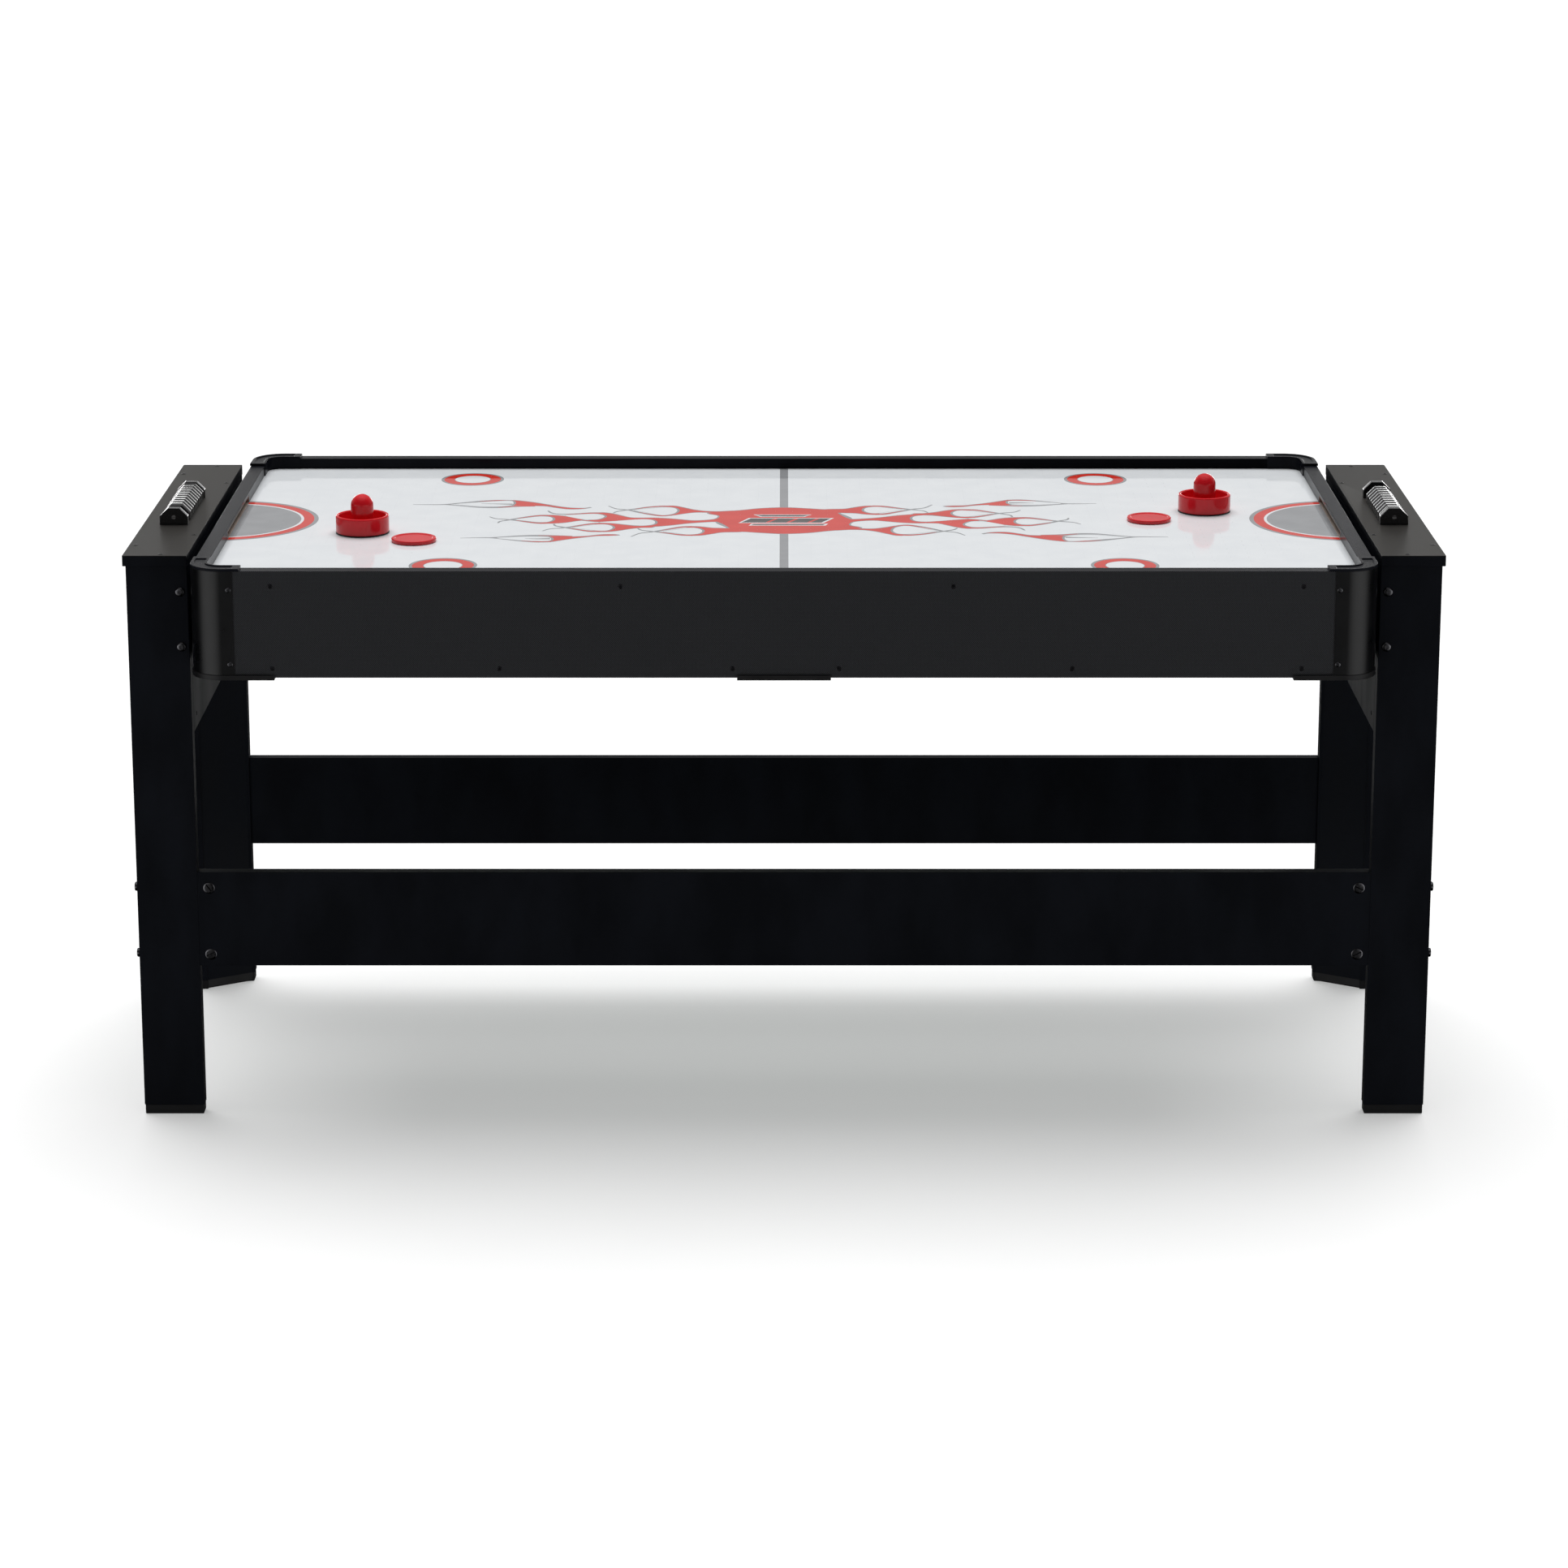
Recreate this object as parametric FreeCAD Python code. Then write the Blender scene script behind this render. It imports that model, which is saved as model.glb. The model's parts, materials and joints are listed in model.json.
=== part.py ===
"""Swivel games table: an air hockey field on one side of the cabinet and a pool bed on the other.

Millimetres. +X runs along the table, -Y is the front, +Z is up. The origin is on the floor, under
the middle of the table. The cabinet turns over about the X axis at PIVOT_Z.
"""
import FreeCAD
import Part
import math
import os

V = FreeCAD.Vector

# Overall
TOP_Z = 813.0            # top of the end caps
FRAME_HALF_X = 907.0     # outer faces of the legs
FRAME_HALF_Y = 313.5
LEG_W = 85.0             # leg along X
LEG_D = 64.0             # leg along Y
LEG_EDGE = 22.0          # depth of the leg's inner edge
FOOT_H = 14.0
CAP_T = 15.0
CAP_OVER = 4.0
PANEL_T = 23.0           # inner support panel
PANEL_LOW = 556.0
OUTER_T = 15.0
OUTER_LOW = 690.0
RAIL_LOW, RAIL_HIGH, RAIL_T = 221.0, 358.0, 18.0
NUT_X, NUT_R = 806.0, 8.2
BOLT_Z = (335.0, 238.0)
PANEL_BOLT_X, PANEL_BOLT_Z = 833.0, (761.0, 683.0)
INNER_X = FRAME_HALF_X - LEG_W      # inner faces of the legs and support panels
HOLE = 0.1               # clearance of a screw or nut in its hole
BOLT_HOLE = 0.15

# Cabinet
HALF_X, HALF_Y = 811.0, 403.0
CAB_LOW, CAB_HIGH = 661.0, 810.0
PIVOT_Z = (CAB_LOW + CAB_HIGH) / 2
CORNER_R = 45.0
FLANGE = 1.5             # corner casting flange, proud of the apron
ARM_X, ARM_Y = 62.0, 70.0
BOARD = 15.0             # apron thickness
IN_X = HALF_X - FLANGE - BOARD
IN_Y = HALF_Y - FLANGE - BOARD
IN_R = CORNER_R - FLANGE - BOARD
FIELD_Z = 794.5          # hockey playing surface
FIELD_T = 6.0
FIELD_X, FIELD_Y = 789.0, 378.0
FIELD_R = 22.0           # corners of the playfield inside the rails
GOAL_HALF, GOAL_H, GOAL_DEEP = 125.0, 11.0, 11.0
PLENUM_LOW = 764.0
PLENUM_T = 3.0
LINER_T, LINER_WALL = 1.0, 1.5
CAP_RING = 3.5           # corner cap above the rail top
CAP_ARM_X, CAP_ARM_Y = 71.0, 80.0
CAP_SKIRT = 1.2          # the cap's skirt down the inside of the rail
CAP_DISH, DISH_EDGE = 1.3, 5.0

# Pool side, which faces down here
BED_Z, BED_T, CLOTH_T = 691.0, 12.0, 1.0
CUSHION = 41.0
MITRE = 60.0             # longer than a cushion is deep
JAW = 33.0               # corner cushions stop this far short of the pocket's centre
CORNER_POCKET = (747.0, 339.5)
SIDE_POCKET_Y = 347.0
CORNER_CUP_R, SIDE_CUP_R = 46.0, 39.0
CUP_WALL, CUP_TOP = 2.5, 742.0
CUP_GAP = 0.3
LIP_T, LIP_WRAP = 3.0, 1.5
LIP_UP, CORNER_LIP = 4.0, 116.0
SIDE_LIP_X, SIDE_LIP_Y = 64.0, 72.0

# Pivot and lock
SHAFT_R = 10.0
PIVOT_HOLE_R, PIVOT_NUT_R = 17.0, 15.0
RUN = 0.05               # radial clearance of a running fit
LOCK_Y = 190.0
LOCK_R, LOCK_HOLE_R = 7.0, 11.0
LOCK_BUSH_R = 10.0
LOCK_TRAVEL = 26.0

# Blower
FAN_X, FAN_R = -330.0, 50.0
BLADES = 16
DIVIDER_X, DIVIDER_T = 260.0, 18.0      # cross boards of the plenum
VENT_X, SWITCH_X, INLET_X = -330.0, -560.0, -620.0
ROCKER_TILT = 10.0

# Pushers, pucks and scorers
PUSHER_R, PUSHER_H = 38.0, 56.0
SOLE_T, SOLE_GAP = 1.5, 0.3
PUCK_R, PUCK_T = 31.75, 5.5
PUSHERS = {"left": (-602.0, -81.0), "right": (614.0, 66.0)}
PUCKS = {"left": (-524.0, -140.0), "right": (528.0, 0.0)}
SCORER_Y, SCORER_LEN, SCORER_W, SCORER_H = -18.0, 197.0, 40.0, 24.0
SCORER_X = FRAME_HALF_X + CAP_OVER - (LEG_W + CAP_OVER) / 2
SCORER_ROD_Z, SCORER_ROD_R = TOP_Z + 11.0, 3.0
OCTAGON_Z = TOP_Z + SCORER_H - SCORER_W / 2
MOUNT_T, PEG_R, PEG_DEEP = 12.0, 2.5, 8.0
BEADS, BEAD_PITCH = 10, 15.2
BEAD_W, BEAD_END, BEAD_FLAT = 38.0, 34.0, 8.4

SIDES = {"left": -1, "right": 1}
ENDS = {"front": -1, "rear": 1}


def box(x0, x1, y0, y1, z0, z1):
    xs, ys, zs = sorted((x0, x1)), sorted((y0, y1)), sorted((z0, z1))
    return Part.makeBox(xs[1] - xs[0], ys[1] - ys[0], zs[1] - zs[0], V(xs[0], ys[0], zs[0]))


def rod(radius, start, end):
    a, b = V(*start), V(*end)
    return Part.makeCylinder(radius, (b - a).Length, a, b - a)


def prism(points, height, z):
    """A flat outline in XY, pushed up from z."""
    return push([V(x, y, z) for x, y in points], V(0, 0, height))


def push(points, along):
    """A flat outline of 3-D points, pushed along a vector."""
    return Part.Face(Part.makePolygon(points + points[:1])).extrude(along)


def flip(shape, sx, sy):
    """Mirror a shape made in the +X +Y quarter into another quarter."""
    if sx < 0:
        shape = shape.mirror(V(0, 0, 0), V(1, 0, 0))
    if sy < 0:
        shape = shape.mirror(V(0, 0, 0), V(0, 1, 0))
    return shape


def quarters():
    return [(end + "_" + side, SIDES[side], ENDS[end]) for end in ENDS for side in SIDES]


def rounded_slab(half_x, half_y, radius, z0, z1):
    slab = box(-half_x, half_x, -half_y, half_y, z0, z1)
    edges = [e for e in slab.Edges if abs(e.tangentAt(e.FirstParameter).z) > 0.99]
    return slab.makeFillet(radius, edges)


def soften(shape, radius, pick):
    edges = [e for e in shape.Edges if pick(e)]
    return shape.makeFillet(radius, edges) if edges else shape


def upright(edge):
    ends = [v.Point for v in edge.Vertexes]
    return len(ends) == 2 and abs(ends[0].x - ends[1].x) < 1e-6 and abs(ends[0].y - ends[1].y) < 1e-6


def save(node, *solids):
    whole = solids[0] if len(solids) == 1 else Part.makeCompound(list(solids))
    for solid in whole.Solids:
        if not solid.isValid() or solid.Volume <= 0:
            raise ValueError(node + " is not a sound solid")
    whole.exportStep("parts/" + node + ".step")
    MADE[node] = whole
    print(node, len(whole.Solids), "solids", round(whole.Volume / 1000.0, 1), "cm3")


# ---- End frames

def leg_outline(inset):
    """Leg plan in the +X +Y quarter: a flat outer corner and a slanting inner face."""
    x0, y0 = FRAME_HALF_X - inset, FRAME_HALF_Y - inset
    w, d = LEG_W - 2 * inset, LEG_D - 2 * inset
    edge = LEG_EDGE - inset
    return [(x0, y0), (x0 - w, y0), (x0 - w, y0 - edge), (x0 - w + 5, y0 - edge - 1),
            (x0 - 16, y0 - d + 3), (x0 - 16, y0 - d), (x0, y0 - d)]


def leg():
    return prism(leg_outline(0), TOP_Z - CAP_T - FOOT_H, FOOT_H)


def panel_bolt(z, grow=0.0):
    """Bolt through the leg's inner edge into the support panel's end."""
    head = rod(6.5 + grow, (PANEL_BOLT_X, FRAME_HALF_Y + 2.0, z), (PANEL_BOLT_X, FRAME_HALF_Y - 3.0, z))
    socket = rod(2.6, (PANEL_BOLT_X, FRAME_HALF_Y + 3.0, z), (PANEL_BOLT_X, FRAME_HALF_Y - 0.5, z))
    shank = rod(3.0 + grow, (PANEL_BOLT_X, FRAME_HALF_Y - 3.0, z), (PANEL_BOLT_X, 240.0, z))
    whole = head.fuse(shank)
    return whole if grow else whole.cut(socket)


def stretcher_bolt(z, grow=0.0):
    y = FRAME_HALF_Y - RAIL_T / 2
    head = rod(5.0 + grow, (FRAME_HALF_X + 4.0, y, z), (FRAME_HALF_X, y, z))
    shank = rod(3.0 + grow, (FRAME_HALF_X, y, z), (NUT_X + 3.0, y, z))
    return head.fuse(shank)


def barrel_nut(z, grow=0.0):
    """Cross dowel that lies along Y through the stretcher, with a slot in its outer end."""
    nut = rod(NUT_R + grow, (NUT_X, FRAME_HALF_Y + 0.6, z), (NUT_X, FRAME_HALF_Y - RAIL_T + 1.0, z))
    if grow:
        return nut
    slot = box(NUT_X - 7.0, NUT_X + 7.0, FRAME_HALF_Y - 0.8, FRAME_HALF_Y + 1.0, z - 0.9, z + 0.9)
    return nut.cut(slot).cut(stretcher_bolt(z, 0.01))


def cap_screw_places():
    low = INNER_X + 7.0
    high = FRAME_HALF_X - 5.0
    mid = FRAME_HALF_X - LEG_W / 2 - 5.5
    return [(high, 248.0), (low, 181.0), (mid, 307.0)]


def cap_screw(x, y, grow=0.0):
    head = rod(3.6 + grow, (x, y, TOP_Z - 1.6), (x, y, TOP_Z + 0.4 + grow))
    shank = rod(1.9 + grow, (x, y, TOP_Z - 1.6), (x, y, TOP_Z - CAP_T - 22.0))
    if grow:
        return head.fuse(shank)
    cross = box(x - 2.2, x + 2.2, y - 0.4, y + 0.4, TOP_Z - 0.6, TOP_Z + 1.0)
    return head.fuse(shank).cut(cross).cut(cross.rotated(V(x, y, 0), V(0, 0, 1), 90))


def panel_screw(grow=0.0):
    x, y, z = INNER_X, 265.0, PANEL_LOW + 20.0
    head = rod(3.4 + grow, (x - 1.0, y, z), (x + 1.4, y, z))
    shank = rod(1.7 + grow, (x + 1.4, y, z), (x + 18.0, y, z))
    return head.fuse(shank)


def stand_holes():
    """Holes for bolts, nuts and screws in the +X +Y quarter of an end frame."""
    return {"bolt": Part.makeCompound([panel_bolt(z, BOLT_HOLE) for z in PANEL_BOLT_Z]),
            "rail": Part.makeCompound([stretcher_bolt(z, BOLT_HOLE) for z in BOLT_Z]),
            "nut": Part.makeCompound([barrel_nut(z, HOLE) for z in BOLT_Z]),
            "screw": Part.makeCompound([cap_screw(x, y, HOLE) for x, y in cap_screw_places()])}


def leg_parts(holes):
    one_leg = leg().cut(holes["bolt"]).cut(holes["rail"]).cut(holes["screw"])
    shoe = prism(leg_outline(1.0), FOOT_H, 0.0)
    shoe = soften(shoe, 2.5, lambda e: abs(e.BoundBox.ZMax) < 1e-6 and e.Length > 20)
    for name, sx, sy in quarters():
        save(name + "_leg", flip(one_leg, sx, sy))
    save("foot_shoes", *[flip(shoe, sx, sy) for _, sx, sy in quarters()])


def panel_parts(holes):
    long_y, short_y = FRAME_HALF_Y - LEG_EDGE, FRAME_HALF_Y - LEG_D
    under_cap = TOP_Z - CAP_T
    panel = box(INNER_X, INNER_X + PANEL_T, -long_y, long_y, PANEL_LOW, under_cap)
    outer = box(FRAME_HALF_X - OUTER_T, FRAME_HALF_X, -short_y, short_y, OUTER_LOW, under_cap)
    for sy in (1, -1):
        outer = outer.cut(flip(holes["screw"], 1, sy))
        panel = panel.cut(flip(leg(), 1, sy)).cut(flip(holes["bolt"], 1, sy))
        panel = panel.cut(flip(holes["screw"], 1, sy)).cut(flip(panel_screw(HOLE), 1, sy))
    for y, radius in ((0, PIVOT_HOLE_R), (LOCK_Y, LOCK_HOLE_R)):
        panel = panel.cut(rod(radius, (INNER_X - 1, y, PIVOT_Z), (INNER_X + PANEL_T + 1, y, PIVOT_Z)))
    for side, sx in SIDES.items():
        save(side + "_inner_panel", flip(panel, sx, 1))
    save("outer_panels", *[flip(outer, sx, 1) for sx in (1, -1)])


def cap_parts(holes):
    reach = FRAME_HALF_Y + CAP_OVER
    cap = box(INNER_X, FRAME_HALF_X + CAP_OVER, -reach, reach, TOP_Z - CAP_T, TOP_Z)
    cap = soften(cap, 3.0, lambda e: upright(e) and e.BoundBox.XMin > FRAME_HALF_X)
    cap = soften(cap, 1.0, lambda e: e.BoundBox.ZMin > TOP_Z - 0.01)
    for sy in (1, -1):
        cap = cap.cut(flip(holes["screw"], 1, sy))
    mounts, mount_pegs = scorer_mounts()
    cap = cap.cut(mount_pegs)
    for side, sx in SIDES.items():
        save(side + "_end_cap", flip(cap, sx, 1))
    save("scorer_mounts", *[flip(part, sx, 1) for sx in (1, -1) for part in mounts])


def stretcher_parts(holes):
    rail = box(-INNER_X, INNER_X, FRAME_HALF_Y - RAIL_T, FRAME_HALF_Y, RAIL_LOW, RAIL_HIGH)
    for sx in (1, -1):
        rail = rail.cut(flip(holes["rail"], sx, 1)).cut(flip(holes["nut"], sx, 1))
    for end, sy in ENDS.items():
        save(end + "_stretcher", flip(rail, 1, sy))


def frame_hardware():
    spread = [(sx, sy) for _, sx, sy in quarters()]
    save("barrel_nuts", *[flip(barrel_nut(z), sx, sy) for sx, sy in spread for z in BOLT_Z])
    bolts = [panel_bolt(z) for z in PANEL_BOLT_Z] + [stretcher_bolt(z) for z in BOLT_Z]
    save("frame_bolts", *[flip(bolt, sx, sy) for sx, sy in spread for bolt in bolts])
    tops = [cap_screw(x, y) for x, y in cap_screw_places()] + [panel_screw()]
    save("frame_screws", *[flip(screw, sx, sy) for sx, sy in spread for screw in tops])


def frame_parts():
    holes = stand_holes()
    leg_parts(holes)
    panel_parts(holes)
    cap_parts(holes)
    stretcher_parts(holes)
    frame_hardware()


# ---- Scorers

def octagon(width, y):
    radius = width / 2 / math.cos(math.pi / 8)
    ring = []
    for i in range(8):
        angle = math.radians(22.5 + 45.0 * i)
        ring.append(V(SCORER_X + radius * math.cos(angle), y, OCTAGON_Z + radius * math.sin(angle)))
    return ring


def octagon_bar(width, low, y0, y1):
    """An eight-sided bar lying along Y, cut flat at its foot."""
    block = push(octagon(width, y0), V(0, y1 - y0, 0))
    return block.common(box(SCORER_X - width, SCORER_X + width, y0 - 1, y1 + 1, low, TOP_Z + 2 * SCORER_H))


def scorer_mounts():
    parts, pegs = [], []
    for sy in (-1, 1):
        outer = SCORER_Y + sy * SCORER_LEN / 2
        inner = outer - sy * MOUNT_T
        y0, y1 = min(outer, inner), max(outer, inner)
        block = octagon_bar(SCORER_W, TOP_Z, y0, y1)
        middle, up = (y0 + y1) / 2, TOP_Z + 1
        peg = rod(PEG_R, (SCORER_X, middle, TOP_Z - PEG_DEEP), (SCORER_X, middle, up))
        hole = rod(SCORER_ROD_R, (SCORER_X, y0 - 1, SCORER_ROD_Z), (SCORER_X, y1 + 1, SCORER_ROD_Z))
        parts.append(block.fuse(peg).cut(hole))
        pegs.append(rod(PEG_R + HOLE, (SCORER_X, middle, TOP_Z - PEG_DEEP - 0.5), (SCORER_X, middle, up)))
    return parts, Part.makeCompound(pegs)


def bead(y):
    """One counting bead: an eight-sided loaf that draws in towards both ends, cut flat at its foot."""
    half, flat = BEAD_PITCH / 2 - 0.2, BEAD_FLAT / 2
    rings = [octagon(BEAD_END, y - half), octagon(BEAD_W, y - flat),
             octagon(BEAD_W, y + flat), octagon(BEAD_END, y + half)]
    loaf = Part.makeLoft([Part.makePolygon(ring + ring[:1]) for ring in rings], True, True)
    reach = (SCORER_X - BEAD_W, SCORER_X + BEAD_W, y - 20, y + 20)
    loaf = loaf.common(box(*reach, TOP_Z + 0.6, TOP_Z + 2 * SCORER_H))
    hole = rod(SCORER_ROD_R + RUN, (SCORER_X, y - 20, SCORER_ROD_Z), (SCORER_X, y + 20, SCORER_ROD_Z))
    return loaf.cut(hole)


def scorer_parts():
    reach = SCORER_LEN / 2
    one_rod = rod(SCORER_ROD_R, (SCORER_X, SCORER_Y - reach + 1, SCORER_ROD_Z),
                  (SCORER_X, SCORER_Y + reach - 1, SCORER_ROD_Z))
    save("scorer_rods", *[flip(one_rod, sx, 1) for sx in (1, -1)])
    inside = reach - MOUNT_T
    for side, sx in SIDES.items():
        away = -sx                     # left beads rest at the rear, right beads at the front
        first = SCORER_Y + away * (inside - 0.3 - BEAD_PITCH / 2)
        row = [bead(first - away * BEAD_PITCH * i) for i in range(BEADS)]
        save(side + "_score_beads", *[flip(one, sx, 1) for one in row])


# ---- Pivots and locks

def on_axis(radius, x0, x1, y=0.0):
    """A cylinder along X at the pivot's height."""
    return rod(radius, (x0, y, PIVOT_Z), (x1, y, PIVOT_Z))


def pivot_parts():
    back = INNER_X + PANEL_T
    bush = on_axis(24.0, INNER_X - 2.5, INNER_X).fuse(on_axis(PIVOT_HOLE_R - HOLE, INNER_X, back + 2))
    bush = bush.cut(on_axis(SHAFT_R + RUN, INNER_X - 5, back + 5))
    save("pivot_bushes", bush, flip(bush, -1, 1))

    plate_x = HALF_X - FLANGE
    shaft = on_axis(35.0, plate_x, plate_x + 4).fuse(on_axis(17.0, plate_x + 4, INNER_X - 3.2))
    shaft = shaft.fuse(on_axis(SHAFT_R, plate_x, back + 18))
    screws = Part.makeCompound(cabinet_screws(HOLE))
    save("pivot_shafts", shaft.cut(screws), flip(shaft, -1, 1).cut(screws))

    nut_x = back + 3.5
    ring = []
    for i in range(6):
        angle = math.radians(60 * i)
        ring.append(V(nut_x, PIVOT_NUT_R * math.cos(angle), PIVOT_Z + PIVOT_NUT_R * math.sin(angle)))
    nut = push(ring, V(10, 0, 0)).cut(on_axis(SHAFT_R, nut_x - 1, nut_x + 11))
    save("pivot_nuts", nut, flip(nut, -1, 1))


def lock_parts():
    back = INNER_X + PANEL_T
    housing = on_axis(LOCK_HOLE_R - HOLE, INNER_X, back, LOCK_Y).fuse(on_axis(18.0, back, back + 4, LOCK_Y))
    housing = housing.cut(on_axis(LOCK_R + RUN, INNER_X - 1, back + 5, LOCK_Y))
    save("lock_housings", housing, flip(housing, -1, 1))

    tip = INNER_X + 1.0
    knob_x = back + 4 + LOCK_TRAVEL + 1.0
    pin = on_axis(LOCK_R, tip, knob_x + 6, LOCK_Y)
    pin = pin.makeChamfer(1.5, [e for e in pin.Edges if abs(e.BoundBox.XMax - tip) < 1e-6])
    knob = on_axis(15.0, knob_x, knob_x + 12, LOCK_Y)
    knob = knob.makeFillet(2.5, [e for e in knob.Edges if e.BoundBox.XLength < 1e-6])
    for side, sx in SIDES.items():
        save(side + "_lock_pin", flip(pin.fuse(knob), sx, 1))

    plate_x = HALF_X - FLANGE
    bush = on_axis(LOCK_BUSH_R, IN_X, plate_x, LOCK_Y)
    bush = bush.fuse(on_axis(14.0, plate_x, plate_x + 1.2, LOCK_Y))
    bush = bush.cut(on_axis(LOCK_R + RUN, IN_X - 1, plate_x + 2, LOCK_Y))
    save("lock_bushes", *[flip(bush, sx, sy) for sx in (1, -1) for sy in (1, -1)])
    return on_axis(LOCK_BUSH_R + 0.02, IN_X - 1, plate_x, LOCK_Y)


# ---- Cabinet

def corner_casting():
    """Plan: a thick rounded corner with a thin flange along each apron."""
    cx, cy, r = HALF_X - CORNER_R, HALF_Y - CORNER_R, CORNER_R
    inner = IN_R
    s = math.sqrt(0.5)
    p = [V(HALF_X - ARM_X, HALF_Y, 0), V(cx, HALF_Y, 0), V(HALF_X, cy, 0), V(HALF_X, HALF_Y - ARM_Y, 0),
         V(HALF_X - FLANGE, HALF_Y - ARM_Y, 0), V(HALF_X - FLANGE, cy, 0), V(cx + inner, cy, 0),
         V(cx, cy + inner, 0), V(cx, HALF_Y - FLANGE, 0), V(HALF_X - ARM_X, HALF_Y - FLANGE, 0)]
    edges = [Part.makeLine(p[0], p[1]), Part.Arc(p[1], V(cx + r * s, cy + r * s, 0), p[2]).toShape(),
             Part.makeLine(p[2], p[3]), Part.makeLine(p[3], p[4]), Part.makeLine(p[4], p[5]),
             Part.makeLine(p[5], p[6]),
             Part.Arc(p[6], V(cx + inner * s, cy + inner * s, 0), p[7]).toShape(),
             Part.makeLine(p[7], p[8]), Part.makeLine(p[8], p[9]), Part.makeLine(p[9], p[0])]
    face = Part.Face(Part.Wire(edges))
    face.translate(V(0, 0, CAB_LOW))
    return face.extrude(V(0, 0, CAB_HIGH - CAB_LOW))


def corner_cap():
    """Raised trim on the rail corner, with a shallow dish and a skirt down to the playfield."""
    top = CAB_HIGH + CAP_RING
    hole = rounded_slab(FIELD_X - CAP_SKIRT, FIELD_Y - CAP_SKIRT, FIELD_R - CAP_SKIRT, FIELD_Z, top + 1)
    zone = box(HALF_X - CAP_ARM_X, HALF_X + 1, HALF_Y - CAP_ARM_Y, HALF_Y + 1, FIELD_Z, top + 1)
    plate = rounded_slab(HALF_X, HALF_Y, CORNER_R, CAB_HIGH, top)
    skirt = rounded_slab(FIELD_X, FIELD_Y, FIELD_R, FIELD_Z, top)
    cap = plate.fuse(skirt).cut(hole).common(zone)
    floor = top - CAP_DISH
    dish = rounded_slab(HALF_X - DISH_EDGE, HALF_Y - DISH_EDGE, CORNER_R - DISH_EDGE, floor, top + 1)
    dish = dish.cut(rounded_slab(FIELD_X + 3, FIELD_Y + 3, FIELD_R + 3, floor - 1, top + 2))
    dish = dish.common(box(HALF_X - 60, HALF_X, HALF_Y - 68, HALF_Y, floor, top + 1))
    return cap.cut(dish)


def pocket_hole(x, y, radius, z0, z1):
    return rod(radius, (x, y, z0), (x, y, z1))


def corner_pocket():
    """Drop cup with a mouth towards the bed and a lip plate that wraps the cabinet's lower edge."""
    x, y = CORNER_POCKET
    wide_x, wide_y = HALF_X + LIP_WRAP, HALF_Y + LIP_WRAP
    lip = rounded_slab(wide_x, wide_y, CORNER_R + LIP_WRAP, CAB_LOW - LIP_T, CAB_LOW + LIP_UP)
    lip = lip.cut(rounded_slab(HALF_X, HALF_Y, CORNER_R, CAB_LOW, CAB_LOW + LIP_UP + 1))
    low_x, low_y = HALF_X - CORNER_LIP, HALF_Y - CORNER_LIP
    lip = lip.common(box(low_x, wide_x + 1, low_y, wide_y + 1, CAB_LOW - LIP_T - 1, CAB_LOW + LIP_UP + 1))
    slant = CORNER_LIP - 70.0
    off = prism([(low_x - 1, low_y - 1), (low_x - 1, low_y + slant), (low_x + slant, low_y - 1)],
                20, CAB_LOW - 10)
    return finish_cup(lip.cut(off), x, y, CORNER_CUP_R, 225.0)


def side_pocket():
    face, back = HALF_Y - FLANGE, HALF_Y - SIDE_LIP_Y
    lip = box(-SIDE_LIP_X, SIDE_LIP_X, back, face + 2 * LIP_WRAP, CAB_LOW - LIP_T, CAB_LOW + LIP_UP)
    lip = lip.cut(box(-SIDE_LIP_X - 1, SIDE_LIP_X + 1, back - 1, face, CAB_LOW, CAB_LOW + LIP_UP + 1))
    lip = soften(lip, 12.0, lambda e: upright(e) and e.BoundBox.YMax < back + 12)
    return finish_cup(lip, 0.0, SIDE_POCKET_Y, SIDE_CUP_R, 270.0)


def finish_cup(lip, x, y, radius, heading):
    """Add the cup above the lip plate, bore it, and cut its mouth on the side of the heading."""
    cup = pocket_hole(x, y, radius, CAB_LOW - 0.5, CUP_TOP)
    inside = pocket_hole(x, y, radius - CUP_WALL, CAB_LOW - LIP_T - 1, CUP_TOP - CUP_WALL)
    mouth_half = radius - CUP_WALL - 3.0
    mouth = box(x, x + radius + 60, y - mouth_half, y + mouth_half, CAB_LOW - LIP_T - 1, BED_Z)
    mouth = mouth.rotated(V(x, y, 0), V(0, 0, 1), heading)
    return lip.fuse(cup).cut(inside).cut(mouth)


def all_pocket_zones(grow):
    """Space that boards and cushions leave free for the cups."""
    zones = []
    for sx in (1, -1):
        for sy in (1, -1):
            zones.append(pocket_hole(sx * CORNER_POCKET[0], sy * CORNER_POCKET[1], CORNER_CUP_R + grow,
                                     CAB_LOW - 20, CUP_TOP + 1))
    for sy in (1, -1):
        zones.append(pocket_hole(0, sy * SIDE_POCKET_Y, SIDE_CUP_R + grow, CAB_LOW - 20, CUP_TOP + 1))
    return Part.makeCompound(zones)


def cushion_profile():
    """Section across a cushion, as distance in from the apron and height."""
    return [(0.0, CAB_LOW + 1.0), (CUSHION - 12, CAB_LOW + 2.0), (CUSHION, CAB_LOW + 6.0),
            (CUSHION, CAB_LOW + 8.5), (CUSHION - 14, BED_Z - CLOTH_T), (0.0, BED_Z - CLOTH_T)]


def long_cushion():
    """One cushion along X, in the +X +Y quarter, mitred towards the pockets at both ends."""
    start, stop = 47.0, CORNER_POCKET[0] - JAW
    low, y0, y1 = CAB_LOW - 10, IN_Y - MITRE, IN_Y + 1
    bar = push([V(start, IN_Y - d, z) for d, z in cushion_profile()], V(stop - start, 0, 0))
    near = prism([(start - 1, y0), (start - 1, y1), (start + 0.1, y1), (start + 12, y0)], MITRE, low)
    far = prism([(stop + 1, y1), (stop + 1, y0 - 1), (stop - MITRE, y0 - 1), (stop, y1)], MITRE, low)
    return bar.cut(near).cut(far)


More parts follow.
